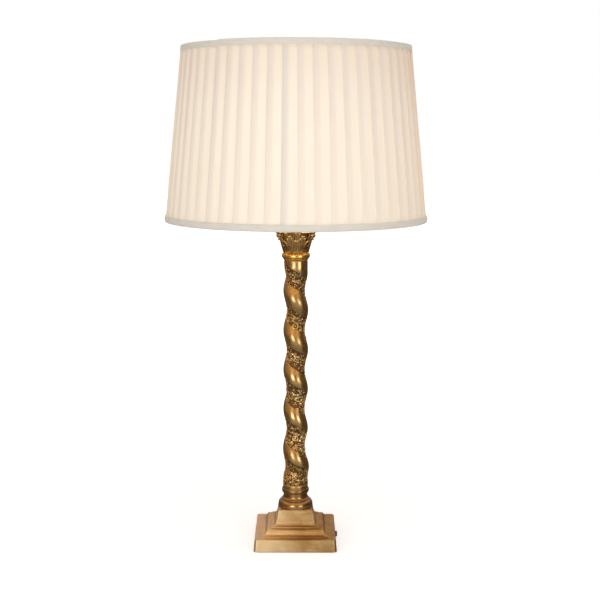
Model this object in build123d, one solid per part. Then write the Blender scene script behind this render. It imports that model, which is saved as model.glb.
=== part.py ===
from build123d import *
import math
import os

# Column table lamp: stepped brass base, twisted brass column, leaf capital, bayonet lampholder
# and a knife-pleated shade that turns and tilts on a gimbal.
# Millimetres, +Z up. The origin is on the table under the middle of the base, the front is -Y
# and the cord inlet is on the +X side.

# Clearances
thread_gap = 0.05
slip_gap = 0.2
cloth_gap = 0.3

# Felt and cover plate under the base
felt_thickness = 1.2
felt_inset = 2.0
cover_thickness = 1.5
cover_screw_inset = 8.3
cover_screw_radius = 2.0
cover_screw_head_radius = 3.6
cover_screw_length = 9.0
boss_radius = 5.0

# Stepped base casting
plinth_bottom_width = 148.6
plinth_top_width = 144.6
plinth_height = 21.4
plinth_corner_radius = 5.5
plinth_edge_radius = 1.0
step_foot_width = 120.0
step_round_width = 106.0
step_top_width = 94.0
step_lip = 1.8
step_hollow = 3.2
step_height = 11.5
cove_foot_width = 86.0
cove_top_width = 69.2
cove_lip = 3.0
cove_shelf = 0.7
cove_height = 10.5
block_bottom_width = 66.6
block_top_width = 61.6
block_height = 19.3
block_edge_radius = 0.9
base_wall = 5.0

# Weight and the fastening of the threaded tube in the base
weight_margin = 18.3
weight_lift = 1.2
weight_hub_gap = 1.0
tube_radius = 5.0
tube_bore_radius = 3.5
tube_way_gap = 0.3
nut_flats = 17.0
nut_height = 6.5
tag_thickness = 0.8
tag_radius = 9.0
tag_tail_width = 6.0
tag_tail_length = 6.0
washer_thickness = 1.6
washer_radius = 13.0
nut_end_gap = 0.6
nut_pocket_radius = 17.0
cord_channel_width = 9.0

# Cord inlet bush
bush_height = 9.5
bush_bore_radius = 3.3
bush_neck_radius = 4.2
bush_flange_radius = 5.2
bush_flange_length = 3.4
bush_lip_radius = 5.2
bush_lip_length = 1.8

# Column foot
foot_radius = 31.0
foot_rim_height = 4.4
foot_torus_height = 9.0
foot_fillet_radius = 25.0
foot_fillet_height = 2.0
foot_neck_radius = 21.6
foot_hollow_height = 5.0
foot_neck_height = 6.0
foot_bead_radius = 24.3
foot_bead_seat_radius = 22.6
foot_bead_height = 7.0
foot_top_height = 2.0
spigot_radius = 10.8
spigot_length = 8.0
column_bore_radius = spigot_radius + slip_gap

# Twisted shaft: a round section carried round the axis
shaft_height = 414.6
shaft_radius = 19.3
shaft_bottom_radius = 22.5
shaft_top_radius = 21.0
shaft_collar = 10.0
shaft_bottom_ease = 90.0
shaft_top_ease = 30.0
twist_offset = 3.0
twist_pitch = 71.9
twist_run_in = 26.0
twist_steps_per_turn = 12
twist_left_height = 361.9

# Astragal ring
astragal_foot_radius = 19.6
astragal_fillet_radius = 22.6
astragal_fillet_rise = 2.6
astragal_fillet_height = 1.7
astragal_bead_radius = 23.8
astragal_bead_seat_radius = 21.7
astragal_bead_height = 8.4
astragal_top_radius = 20.6
astragal_top_height = 1.8

# Leaf capital
bell_bottom_radius = 19.8
bell_middle_radius = 22.6
bell_top_radius = 31.0
bell_height = 38.0
leaf_count = 8
leaf_rib = 1.0
lower_leaf_width = 16.0
lower_leaf_height = 20.5
lower_leaf_swell = 4.6
lower_leaf_reach = 30.6
upper_leaf_width = 14.0
upper_leaf_start = 9.0
upper_leaf_height = 34.0
upper_leaf_swell = 4.4
upper_leaf_reach = 35.4
leaf_curl = 3.4
abacus_width = 76.0
abacus_height = 10.0
abacus_hollow = 5.0
abacus_corner = 8.0
abacus_lip = 4.0
abacus_step = 2.0
scroll_radius = 5.0
scroll_width = 7.0
scroll_inset = 8.5

# Cap and nut on the capital
cap_radius = 24.0
cap_rim = 1.2
cap_height = 4.0
cap_crown_radius = 12.0
lock_nut_flats = 15.0
lock_nut_height = 5.5

# Lampholder
holder_entry_radius = 8.0
holder_entry_height = 6.0
holder_radius = 17.5
holder_bell_height = 9.0
holder_floor_height = 14.0
holder_cap_height = 26.0
holder_wall = 1.6
holder_flange_height = 3.0
tube_in_holder = 12.0
barrel_wall = 2.9
barrel_height = 40.0
insulator_height = 30.0
wire_way_radius = 3.0
plunger_radius = 2.0
plunger_flange_radius = 2.6
plunger_flange_height = 1.2
plunger_offset = 5.2
plunger_length = 10.0
plunger_lift = 3.2
spring_wire_radius = 0.3
spring_radius = 1.9
spring_turns = 5
spring_height = 7.0

# Push-bar switch
switch_height = 19.0
switch_radius = 2.5
switch_length = 50.0
switch_travel = 6.0
switch_tip_length = 4.0
switch_tip_radius = 3.2

# Bulb
bulb_radius = 30.0
bulb_length = 105.0
bulb_neck_radius = 13.0
bulb_wall = 1.0
bulb_cap_radius = 11.0
bulb_cap_gap = 0.4
bulb_cap_wall = 0.5
bulb_cap_length = 24.0
bulb_cap_floor = 3.0
bulb_neck_length = 4.0
bulb_pin_radius = 1.0
bulb_pin_height = 7.0
bulb_pin_reach = 2.0
bulb_contact_radius = 2.4
bulb_contact_height = 0.5
bayonet_turn = 20.0

# Gimbal
shade_ring_grip = 6.3
lower_ring_height = 6.0
upper_ring_height = 7.0
shade_ring_level = 8.0
gimbal_plate = 1.6
gimbal_margin = 1.4
gimbal_ear_width = 10.0
gimbal_ear_height = 13.0
gimbal_ear_gap = 2.6
gimbal_pivot_rise = 8.0
rivet_radius = 1.5
rivet_head_radius = 2.8
rivet_head_height = 1.2
arm_wire_radius = 1.8
arm_eye_radius = 5.0
arm_eye_thickness = 2.4
arm_bulb_room = 14.0
arm_clear_rise = 62.0
arm_shoulder_spread = 16.0
arm_shoulder_drop = 28.0
arm_bend_radius = 25.0

# Shade
shade_drop = 49.6
shade_height = 302.0
cover_bottom_radius = 228.8
cover_top_radius = 198.2
trim_fold = 0.8
pleat_count = 53
pleat_depth = 2.0
pleat_backing = 0.9
pleat_overlap = 0.44
pleat_phase = 270.9
ring_wire_radius = 2.0
strut_wire_radius = 1.5
strut_count = 8
strut_phase = 264.0
lining_thickness = 0.6
bottom_trim_height = 12.0
bottom_trim_thickness = 2.0
top_trim_height = 10.5
top_trim_thickness = 0.9

# Heights of the stack, from the table up
base_z = felt_thickness
ledge_z = base_z + plinth_height
step_z = ledge_z + step_height
cove_z = step_z + cove_height
block_z = cove_z + block_height
foot_height = (
    foot_rim_height + foot_torus_height + foot_fillet_height + foot_hollow_height
    + foot_neck_height + foot_bead_height + foot_top_height
)
shaft_z = block_z + foot_height
astragal_z = shaft_z + shaft_height
astragal_height = astragal_fillet_rise + astragal_fillet_height + astragal_bead_height + astragal_top_height
capital_z = astragal_z + astragal_height
capital_height = bell_height + abacus_height
cap_z = capital_z + capital_height
lock_nut_z = cap_z + cap_height
holder_z = lock_nut_z + lock_nut_height
body_z = holder_z + holder_cap_height
barrel_bore_radius = bulb_cap_radius + bulb_cap_gap
barrel_radius = barrel_bore_radius + barrel_wall
barrel_top_z = body_z + barrel_height
insulator_z = holder_z + holder_floor_height
insulator_top_z = insulator_z + insulator_height
plunger_top_z = insulator_top_z + plunger_lift
bulb_z = plunger_top_z + bulb_contact_height + thread_gap * 2
bulb_pin_z = bulb_z + bulb_pin_height
lower_ring_z = body_z + shade_ring_level
gimbal_z = lower_ring_z + lower_ring_height + slip_gap
upper_ring_z = gimbal_z + gimbal_plate + slip_gap
pivot_z = gimbal_z + gimbal_pivot_rise
switch_z = holder_z + switch_height
shade_bottom_height = pivot_z - shade_drop
shade_top_height = shade_bottom_height + shade_height
cover_end_gap = trim_fold + slip_gap
cover_z = shade_bottom_height + cover_end_gap
cover_height = shade_height - 2 * cover_end_gap

# Radii of the gimbal, from the lampholder out
shade_ring_radius = barrel_radius + shade_ring_grip
gimbal_radius = shade_ring_radius + gimbal_margin
gimbal_ear_inside = gimbal_radius + gimbal_ear_gap
arm_clear_radius = bulb_radius + arm_bulb_room
arm_shoulder_radius = arm_clear_radius + arm_shoulder_spread

# Insides of the base
cover_top_z = base_z + cover_thickness
hollow_z = ledge_z - base_wall
hollow_half = min(plinth_bottom_width, plinth_top_width) / 2 - base_wall
middle_z = step_z - base_wall
middle_half = step_top_width / 2 - base_wall
upper_z = block_z - base_wall
upper_half = block_top_width / 2 - base_wall
weight_half = hollow_half - weight_margin
weight_z = cover_top_z + weight_lift
pocket_z = weight_z + nut_end_gap + nut_height + tag_thickness + washer_thickness
tube_way_radius = tube_radius + tube_way_gap

QUARTER = math.sqrt(0.5)


def outline(start, *steps):
    """Closed face in the XZ plane from (x, z) points; a step of four numbers is an arc's middle and end."""
    edges = []
    here = start
    for step in steps:
        there = step[-2:]
        if len(step) == 4:
            edges.append(ThreePointArc((here[0], 0, here[1]), (step[0], 0, step[1]), (there[0], 0, there[1])))
        else:
            edges.append(Line((here[0], 0, here[1]), (there[0], 0, there[1])))
        here = there
    edges.append(Line((here[0], 0, here[1]), (start[0], 0, start[1])))
    return make_face(edges)


def turned(start, *steps):
    """Solid of revolution about Z from an outline of (radius, z) points."""
    return revolve(outline(start, *steps), Axis.Z)


def round_over(here, there):
    """Arc step from here out-and-down to there in-and-up, bulging outwards."""
    middle_r = there[0] + (here[0] - there[0]) * QUARTER
    middle_z = here[1] + (there[1] - here[1]) * QUARTER
    return (middle_r, middle_z, there[0], there[1])


def hollow_out(here, there):
    """Arc step from here out-and-down to there in-and-up, hollow outwards."""
    middle_r = here[0] - (here[0] - there[0]) * QUARTER
    middle_z = there[1] - (there[1] - here[1]) * QUARTER
    return (middle_r, middle_z, there[0], there[1])


def bead(here, there, reach):
    """Arc step from here straight up to there, swelling to the given radius half way."""
    return (reach, (here[1] + there[1]) / 2, there[0], there[1])


def pipe(outer, inner, bottom, top):
    """Upright tube between two heights."""
    return turned((inner, bottom), (outer, bottom), (outer, top), (inner, top))


def rod(radius, start, end):
    """Round bar between two points."""
    axis = Vector(*end) - Vector(*start)
    return Solid.make_cylinder(radius, axis.length, Plane(origin=start, z_dir=axis))


def around(shape, count, start=0.0):
    """Copies of a shape turned evenly about Z."""
    return [shape.rotate(Axis.Z, start + 360.0 * k / count) for k in range(count)]


def hex_nut(flats, bore, bottom, height):
    """Plain hexagon nut."""
    blank = extrude(Plane.XY.offset(bottom) * RegularPolygon(flats / 2, 6, major_radius=False), height)
    return blank - pipe(bore, 0, bottom, bottom + height)


def square_block(half, bottom, top):
    """Square block about the axis."""
    return Pos(0, 0, (bottom + top) / 2) * Box(2 * half, 2 * half, top - bottom)


def rounded_square(width, height):
    """Square with the plinth's corner rounding, at a height."""
    return Plane.XY.offset(height) * RectangleRounded(width, width, plinth_corner_radius)


def screw_places():
    """Centres of the four cover screws."""
    half = hollow_half - cover_screw_inset
    return [(x, y) for x in (-half, half) for y in (-half, half)]


def bush_seat():
    """Distance from the axis to the flat on the plinth that the bush stands on."""
    rise = bush_height + bush_flange_radius - base_z
    return (plinth_bottom_width - (plinth_bottom_width - plinth_top_width) * rise / plinth_height) / 2


def across(radius, start, end):
    """Round bar along X at the height of the cord inlet."""
    return rod(radius, (start, 0, bush_height), (end, 0, bush_height))


def moulding():
    """Upper part of the base: two mouldings and the tapered block, with mitred corners."""
    half = [
        (step_foot_width / 2, ledge_z + step_lip),
        (step_round_width / 2, ledge_z + step_lip + step_hollow),
        (step_top_width / 2, step_z),
        (cove_foot_width / 2, step_z),
        (cove_foot_width / 2, step_z + cove_lip),
        (cove_top_width / 2, cove_z - cove_shelf),
    ]
    bar = outline(
        (0, ledge_z - plinth_edge_radius),
        (half[0][0], ledge_z - plinth_edge_radius),
        half[0],
        hollow_out(half[0], half[1]),
        round_over(half[1], half[2]),
        half[3],
        half[4],
        hollow_out(half[4], half[5]),
        (cove_top_width / 2, cove_z),
        (block_bottom_width / 2, cove_z),
        (block_top_width / 2, block_z),
        (0, block_z),
    )
    reach = step_foot_width / 2
    right = extrude(bar, amount=reach, both=True)
    along_x = right + mirror(right, Plane.YZ)
    solid = along_x & along_x.rotate(Axis.Z, 90)
    top = solid.edges().filter_by(lambda e: abs(e.center().Z - block_z) < 0.01)
    sides = solid.edges().filter_by(lambda e: cove_z < e.center().Z < block_z - 0.01)
    return fillet(sides + top, block_edge_radius)


def stepped_base():
    """Hollow casting: plinth, mouldings and block, with four screw bosses and the cord hole."""
    low = rounded_square(plinth_bottom_width, base_z)
    high = rounded_square(plinth_top_width, ledge_z)
    plinth = loft([low, high])
    rim = plinth.edges().filter_by(lambda e: abs(e.center().Z - ledge_z) < 0.01)
    shell = fillet(rim, plinth_edge_radius) + moulding()
    shell -= square_block(hollow_half, base_z, hollow_z)
    shell -= square_block(middle_half, hollow_z, middle_z)
    shell -= square_block(upper_half, middle_z, upper_z)
    shell -= pipe(tube_way_radius, 0, upper_z, block_z)
    for x, y in screw_places():
        shell += Pos(x, y, 0) * pipe(boss_radius, 0, cover_top_z, hollow_z)
        hole_top = cover_top_z + cover_screw_length
        shell -= Pos(x, y, 0) * pipe(cover_screw_radius + thread_gap, 0, cover_top_z, hole_top)
    shell -= across(bush_neck_radius + thread_gap, hollow_half - base_wall, bush_seat() + base_wall)
    shell -= across(bush_flange_radius + slip_gap, bush_seat(), bush_seat() + base_wall)
    return shell


def felt_pad():
    """Felt square that the lamp stands on."""
    return extrude(rounded_square(plinth_bottom_width - 2 * felt_inset, 0), felt_thickness)


def base_cover():
    """Steel plate that closes the underside of the base."""
    plate = square_block(hollow_half - slip_gap, base_z, cover_top_z)
    for x, y in screw_places():
        plate -= Pos(x, y, 0) * turned(
            (0, base_z),
            (cover_screw_head_radius + thread_gap, base_z),
            (cover_screw_radius + thread_gap, cover_top_z),
            (0, cover_top_z),
        )
    return plate


def cover_screws():
    """Four countersunk screws, flush with the plate."""
    screw = turned(
        (0, base_z),
        (cover_screw_head_radius, base_z),
        (cover_screw_radius, cover_top_z),
        (cover_screw_radius, cover_top_z + cover_screw_length - slip_gap),
        (0, cover_top_z + cover_screw_length - slip_gap),
    )
    return [Pos(x, y, 0) * screw for x, y in screw_places()]


def base_weight():
    """Cast iron weight under the roof of the base, with a pocket for the nut and a way for the cord."""
    body = square_block(weight_half, weight_z, hollow_z)
    body += square_block(middle_half - weight_hub_gap, hollow_z, middle_z - weight_hub_gap)
    body -= pipe(nut_pocket_radius, 0, weight_z, pocket_z)
    body -= pipe(tube_way_radius, 0, pocket_z, middle_z)
    channel = Box(weight_half, cord_channel_width, pocket_z - weight_z)
    return body - Pos(weight_half / 2, 0, (weight_z + pocket_z) / 2) * channel


def threaded_tube():
    """Tube that holds the whole column together and carries the wires."""
    return pipe(tube_radius, tube_bore_radius, weight_z, holder_z + tube_in_holder)


def base_nut():
    """Nut that draws the column together."""
    return hex_nut(nut_flats, tube_radius + thread_gap, weight_z + nut_end_gap, nut_height)


def earth_tag():
    """Ring tag for the earth wire, under the nut's washer."""
    bottom = pocket_z - washer_thickness - tag_thickness
    tail = Box(tag_radius + tag_tail_length, tag_tail_width, tag_thickness)
    blank = pipe(tag_radius, 0, bottom, bottom + tag_thickness)
    blank += Pos(-(tag_radius + tag_tail_length) / 2, 0, bottom + tag_thickness / 2) * tail
    return blank - pipe(tube_radius + thread_gap, 0, bottom, bottom + tag_thickness)


def base_washer():
    """Washer between the earth tag and the weight."""
    return pipe(washer_radius, tube_radius + slip_gap, pocket_z - washer_thickness, pocket_z)


def cord_inlet_bush():
    """Bush that lines the cord hole in the plinth."""
    seat = bush_seat()
    bush = across(bush_flange_radius, seat, seat + bush_flange_length)
    bush += across(bush_neck_radius, hollow_half, seat)
    bush += across(bush_lip_radius, hollow_half - bush_lip_length, hollow_half)
    rim = bush.edges().filter_by(GeomType.CIRCLE).sort_by(Axis.X)[-1]
    bush = fillet(rim, bush_flange_length / 3)
    return bush - across(bush_bore_radius, hollow_half - bush_lip_length, seat + bush_flange_length)


def column_foot():
    """Turned foot: torus, fillet, hollow neck and bead, with a spigot that centres the shaft."""
    torus = (foot_radius, block_z + foot_rim_height)
    torus_top = (foot_fillet_radius, torus[1] + foot_torus_height)
    fillet_top = (foot_fillet_radius, torus_top[1] + foot_fillet_height)
    neck = (foot_neck_radius, fillet_top[1] + foot_hollow_height)
    neck_top = (foot_neck_radius, neck[1] + foot_neck_height)
    bead_foot = (foot_bead_seat_radius, neck_top[1])
    bead_top = (foot_bead_seat_radius, neck_top[1] + foot_bead_height)
    return turned(
        (tube_way_radius, block_z),
        (foot_radius, block_z),
        torus,
        round_over(torus, torus_top),
        fillet_top,
        hollow_out(fillet_top, neck),
        neck_top,
        bead_foot,
        bead(bead_foot, bead_top, foot_bead_radius),
        (shaft_bottom_radius, shaft_z),
        (spigot_radius, shaft_z),
        (spigot_radius, shaft_z + spigot_length),
        (tube_way_radius, shaft_z + spigot_length),
    )


def ease(share):
    """Smooth rise from 0 to 1."""
    share = min(max(share, 0.0), 1.0)
    return share * share * (3 - 2 * share)


def shaft_section(rise):
    """Circle of the twisted shaft at a height above its foot."""
    above = rise - shaft_collar
    below = shaft_height - shaft_collar - rise
    radius = shaft_radius
    radius += (shaft_bottom_radius - shaft_radius) * (1 - ease(above / shaft_bottom_ease))
    radius += (shaft_top_radius - shaft_radius) * (1 - ease(below / shaft_top_ease))
    offset = twist_offset * ease(above / twist_run_in) * ease(below / twist_run_in)
    angle = math.radians(180.0 + 360.0 * (twist_left_height - rise) / twist_pitch)
    centre = (offset * math.cos(angle), offset * math.sin(angle), shaft_z + rise)
    return Plane(origin=centre) * Circle(radius)


def twisted_shaft():
    """Hollow shaft with a left-hand twist that dies into a round collar at each end."""
    count = math.ceil((shaft_height - 2 * shaft_collar) * twist_steps_per_turn / twist_pitch)
    run = (shaft_height - 2 * shaft_collar) / count
    rises = [0.0] + [shaft_collar + k * run for k in range(count + 1)] + [shaft_height]
    body = loft([shaft_section(rise) for rise in rises], ruled=True)
    return body - pipe(column_bore_radius, 0, shaft_z, astragal_z)


def astragal_ring():
    """Turned ring between the shaft and the capital."""
    foot = (astragal_foot_radius, astragal_z)
    rise = (astragal_fillet_radius, astragal_z + astragal_fillet_rise)
    rise_top = (astragal_fillet_radius, rise[1] + astragal_fillet_height)
    seat = (astragal_bead_seat_radius, rise_top[1])
    seat_top = (astragal_bead_seat_radius, rise_top[1] + astragal_bead_height)
    return turned(
        (column_bore_radius, astragal_z),
        foot,
        rise,
        rise_top,
        seat,
        bead(seat, seat_top, astragal_bead_radius),
        (astragal_top_radius, seat_top[1] + astragal_top_height),
        (column_bore_radius, seat_top[1] + astragal_top_height),
    )


def leaf_tier(bottom, height, width, inner, swell, reach):
    """One tier of leaves that rise along the bell and curl over at their tips."""
    foot = (inner + leaf_rib, capital_z + bottom)
    belly = (inner + swell, capital_z + bottom + height / 3)
    curl = (reach, capital_z + bottom + height - leaf_curl)
    tip = (reach - leaf_curl / 2, capital_z + bottom + height)
    blank = turned(
        (inner - leaf_rib, capital_z + bottom),
        foot,
        (*belly, *curl),
        tip,
        (inner - leaf_rib, capital_z + bottom + height - leaf_curl),
    )
    shoulder = (width / 2, capital_z + bottom + height * 0.6)
    leaf = outline(
        (-width / 3, capital_z + bottom),
        (width / 3, capital_z + bottom),
        shoulder,
        (width / 3, tip[1] - leaf_curl / 4, 0, tip[1] + leaf_curl),
        (-width / 3, tip[1] - leaf_curl / 4, -shoulder[0], shoulder[1]),
    )
    return blank & extrude(leaf, amount=2 * reach, dir=(0, -1, 0))


def abacus():
    """Square slab with hollow sides, cut corners and a stepped edge."""
    bottom = capital_z + bell_height
    half = abacus_width / 2
    run = half - abacus_corner / 2
    hollow_radius = (run**2 + abacus_hollow**2) / (2 * abacus_hollow)
    corner_reach = (abacus_width - abacus_corner / 2) * QUARTER
    slab = None
    for inset, low, high in ((abacus_step, 0, abacus_lip), (0, abacus_lip, abacus_height)):
        tile = square_block(half - inset, bottom + low, bottom + high)
        diamond = square_block(corner_reach - inset, bottom + low, bottom + high)
        tile = tile & diamond.rotate(Axis.Z, 45)
        bite_x = half - inset - abacus_hollow + hollow_radius
        bite = Pos(bite_x, 0, 0) * pipe(hollow_radius, 0, bottom, bottom + high)
        for cut in around(bite, 4):
            tile -= cut
        slab = tile if slab is None else slab + tile
    return slab


def leaf_capital():
    """Cast capital: bell, two tiers of leaves, corner scrolls and abacus, with a spigot below."""
    bell_top = capital_z + bell_height
    bell = turned(
        (tube_way_radius, capital_z - astragal_height - spigot_length),
        (spigot_radius, capital_z - astragal_height - spigot_length),
        (spigot_radius, capital_z),
        (bell_bottom_radius, capital_z),
        (bell_middle_radius, capital_z + bell_height * 0.55, bell_top_radius, bell_top),
        (tube_way_radius, bell_top),
    )
    lower = leaf_tier(
        0,
        lower_leaf_height,
        lower_leaf_width,
        bell_bottom_radius,
        lower_leaf_swell,
        lower_leaf_reach,
    )
    upper = leaf_tier(
        upper_leaf_start,
        upper_leaf_height - upper_leaf_start,
        upper_leaf_width,
        bell_middle_radius,
        upper_leaf_swell,
        upper_leaf_reach,
    )
    scroll_reach = abacus_width * QUARTER - scroll_inset
    scroll = rod(
        scroll_radius,
        (scroll_reach, -scroll_width / 2, bell_top - scroll_radius),
        (scroll_reach, scroll_width / 2, bell_top - scroll_radius),
    )
    stem_length = scroll_reach - bell_middle_radius
    stem = Pos(bell_middle_radius + stem_length / 2, 0, bell_top - scroll_radius / 2) * Box(
        stem_length, scroll_width, scroll_radius
    )
    body = bell + abacus() + around(lower, leaf_count) + around(upper, leaf_count, 180.0 / leaf_count)
    body += around(scroll + stem, 4, 45)
    return body - pipe(tube_way_radius, 0, bell_top, cap_z)


def capital_cap():
    """Low turned cap that covers the hole in the capital."""
    crown = (cap_crown_radius, cap_z + cap_height)
    bore = tube_radius + slip_gap
    return turned((bore, cap_z), (cap_radius, cap_z), (cap_radius, cap_z + cap_rim), crown, (bore, crown[1]))


def lock_nut():
    """Nut on the tube that clamps the column from above."""
    return hex_nut(lock_nut_flats, tube_radius + thread_gap, lock_nut_z, lock_nut_height)


def switch_hole(radius):
    """Cross hole for the push bar."""
    reach = holder_radius + holder_wall
    return rod(radius, (-reach, 0, switch_z), (reach, 0, switch_z))


def holder_cap():
    """Lower shell of the lampholder, screwed on the tube."""
    entry = (holder_entry_radius, holder_z + holder_entry_height)
    bell = (holder_radius, entry[1] + holder_bell_height)
    inside = holder_radius - holder_wall
    shell = turned(
        (tube_radius + thread_gap, holder_z),
        (holder_entry_radius, holder_z),
        entry,
        ((entry[0] + bell[0]) / 2 + holder_wall, (entry[1] + bell[1]) / 2 - holder_wall, *bell),
        (holder_radius, body_z),
        (inside, body_z),
        (inside, insulator_z),
        (tube_radius + thread_gap, insulator_z),
    )
    return shell - switch_hole(switch_radius + thread_gap)


def bayonet_slot():
    """L-shaped slot for one bulb pin on the +Y side: straight down, then round to the locked place."""
    width = 2 * (bulb_pin_radius + slip_gap)
    bottom = bulb_pin_z - width / 2
    drop = Box(width, 2 * barrel_radius, barrel_top_z - bottom)
    drop = Pos(0, barrel_radius, (bottom + barrel_top_z) / 2) * drop
    run = outline(
        (0, bottom),
        (2 * barrel_radius, bottom),
        (2 * barrel_radius, bottom + width),
        (0, bottom + width),
    )
    sector = revolve(run, Axis.Z, bayonet_turn).rotate(Axis.Z, 90)
    end = rod(width / 2, (0, 0, bulb_pin_z), (0, 2 * barrel_radius, bulb_pin_z))
    return drop.rotate(Axis.Z, bayonet_turn) + sector + end


def holder_body():
    """Barrel of the lampholder, with a flange, an outside thread and two bayonet slots."""
    barrel = pipe(barrel_radius, barrel_bore_radius, body_z, barrel_top_z)
    barrel += pipe(holder_radius, barrel_bore_radius, body_z, body_z + holder_flange_height)
    for slot in around(bayonet_slot(), 2):
        barrel -= slot
    return barrel


def plunger_places():
    """Centres of the two spring contacts."""
    return [(-plunger_offset, 0), (plunger_offset, 0)]


def plunger_floor():
    """Height of the bottom of the contact bores."""
    return plunger_top_z - plunger_length - spring_height


def holder_insulator():
    """Moulded inner of the lampholder, with the contact bores and the way for the wires and the bar."""
    inside = holder_radius - holder_wall - slip_gap
    core = turned(
        (0, insulator_z),
        (inside, insulator_z),
        (inside, body_z - slip_gap),
        (barrel_bore_radius - slip_gap, body_z - slip_gap),
        (barrel_bore_radius - slip_gap, insulator_top_z),
        (0, insulator_top_z),
    )
    core -= pipe(wire_way_radius, 0, insulator_z, switch_z)
    core -= switch_hole(switch_radius + slip_gap)
    shoulder_z = plunger_top_z - plunger_length + plunger_flange_height + slip_gap
    for x, y in plunger_places():
        core -= Pos(x, y, 0) * pipe(plunger_radius + thread_gap, 0, shoulder_z, insulator_top_z)
        core -= Pos(x, y, 0) * pipe(plunger_flange_radius + thread_gap, 0, plunger_floor(), shoulder_z)
    return core


def contact_plungers():
    """Two sprung brass contacts with a flange that keeps them in their bores."""
    bottom = plunger_top_z - plunger_length
    plunger = turned(
        (0, bottom),
        (plunger_flange_radius, bottom),
        (plunger_flange_radius, bottom + plunger_flange_height),
        (plunger_radius, bottom + plunger_flange_height),
        (plunger_radius, plunger_top_z),
        (0, plunger_top_z),
    )
    return [Pos(x, y, 0) * plunger for x, y in plunger_places()]


def plunger_springs():
    """Two small coil springs under the contacts."""
    rise = spring_height - 2 * spring_wire_radius - 2 * thread_gap
    path = Helix(rise / spring_turns, rise, spring_radius)
    section = Plane(origin=path @ 0, z_dir=path % 0) * Circle(spring_wire_radius)
    coil = sweep(section, path=path, is_frenet=True)
    lift = plunger_floor() + spring_wire_radius + thread_gap
    return [Pos(x, y, lift) * coil for x, y in plunger_places()]


def switch_bar():
    """Push bar of the switch, at rest with its +X tip out."""
    left = -switch_length / 2 + switch_travel / 2
    right = switch_length / 2 + switch_travel / 2
    bar = rod(switch_radius, (left, 0, switch_z), (right, 0, switch_z))
    bar += rod(switch_tip_radius, (right - switch_tip_length, 0, switch_z), (right, 0, switch_z))
    bar += rod(switch_tip_radius, (left, 0, switch_z), (left + switch_tip_length, 0, switch_z))
    ends = bar.edges().filter_by(GeomType.CIRCLE).sort_by(Axis.X)
    return fillet([ends[0], ends[-1]], switch_tip_radius / 3)


def lower_shade_ring():
    """Threaded ring under the gimbal."""
    return pipe(shade_ring_radius, barrel_radius + thread_gap, lower_ring_z, lower_ring_z + lower_ring_height)


def upper_shade_ring():
    """Threaded ring above the gimbal."""
    return pipe(shade_ring_radius, barrel_radius + thread_gap, upper_ring_z, upper_ring_z + upper_ring_height)


def gimbal_ring():
    """Flat ring round the lampholder with two upright ears for the shade's arms."""
    outside = gimbal_ear_inside + gimbal_plate
    ring = pipe(gimbal_radius, 0, gimbal_z, gimbal_z + gimbal_plate)
    ring += Pos(0, 0, gimbal_z + gimbal_plate / 2) * Box(2 * outside, gimbal_ear_width, gimbal_plate)
    ring -= pipe(barrel_radius + 2 * thread_gap, 0, gimbal_z, gimbal_z + gimbal_plate)
    for side in (-1, 1):
        ear_x = side * (gimbal_ear_inside + gimbal_plate / 2)
        ear = Box(gimbal_plate, gimbal_ear_width, gimbal_ear_height)
        ring += Pos(ear_x, 0, gimbal_z + gimbal_ear_height / 2) * ear
    return ring - rod(rivet_radius + thread_gap, (-2 * outside, 0, pivot_z), (2 * outside, 0, pivot_z))


def arm_eye_inside():
    """Distance from the axis to the inner face of an arm's eye."""
    return gimbal_ear_inside + gimbal_plate + slip_gap


def gimbal_rivets():
    """Two rivets that pivot the arms on the ears."""
    inner = gimbal_ear_inside
    outer = arm_eye_inside() + arm_eye_thickness + slip_gap
    rivet = rod(rivet_radius, (inner, 0, pivot_z), (outer, 0, pivot_z))
    rivet += rod(rivet_head_radius, (inner - rivet_head_height, 0, pivot_z), (inner, 0, pivot_z))
    rivet += rod(rivet_head_radius, (outer, 0, pivot_z), (outer + rivet_head_height, 0, pivot_z))
    return around(rivet, 2)


def cover_radius(height):
    """Outer radius of the pleated cover at a height."""
    share = (height - cover_z) / cover_height
    return cover_bottom_radius + (cover_top_radius - cover_bottom_radius) * share


def cover_depth():
    """Depth of the pleated cover from its crests to its back."""
    return pleat_depth + pleat_backing


def ring_place(height):
    """Radius of a wire ring's middle that lies against the back of the cover at a height."""
    return cover_radius(height) - cover_depth() - cloth_gap - ring_wire_radius


def ring_heights():
    """Heights of the two wire rings."""
    inset = cloth_gap + ring_wire_radius
    return cover_z + inset, cover_z + cover_height - inset


def lining_radius(height):
    """Outer radius of the lining, inside the wire rings."""
    return ring_place(height) - ring_wire_radius - cloth_gap


def frame_ring(height):
    """Wire ring of the shade frame."""
    return Pos(0, 0, height) * Torus(ring_place(height), ring_wire_radius)


def frame_struts():
    """Straight wires from ring to ring, welded to both."""
    low, high = ring_heights()
    strut = rod(strut_wire_radius, (ring_place(low), 0, low), (ring_place(high), 0, high))
    return around(strut, strut_count, strut_phase)


def arm_path():
    """Line of one gimbal arm: from its eye, clear of the bulb, up and out to the top ring."""
    high = ring_heights()[1]
    eye_x = arm_eye_inside() + arm_eye_thickness / 2
    points = [
        (eye_x, 0, pivot_z),
        (arm_clear_radius, 0, pivot_z + arm_clear_rise),
        (arm_shoulder_radius, 0, high - arm_shoulder_drop),
        (ring_place(high), 0, high),
    ]
    return FilletPolyline(*points, radius=arm_bend_radius)


def arm_wire(radius):
    """Bent wire of one gimbal arm."""
    path = arm_path()
    return sweep(Plane(origin=path @ 0, z_dir=path % 0) * Circle(radius), path=path)


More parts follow.
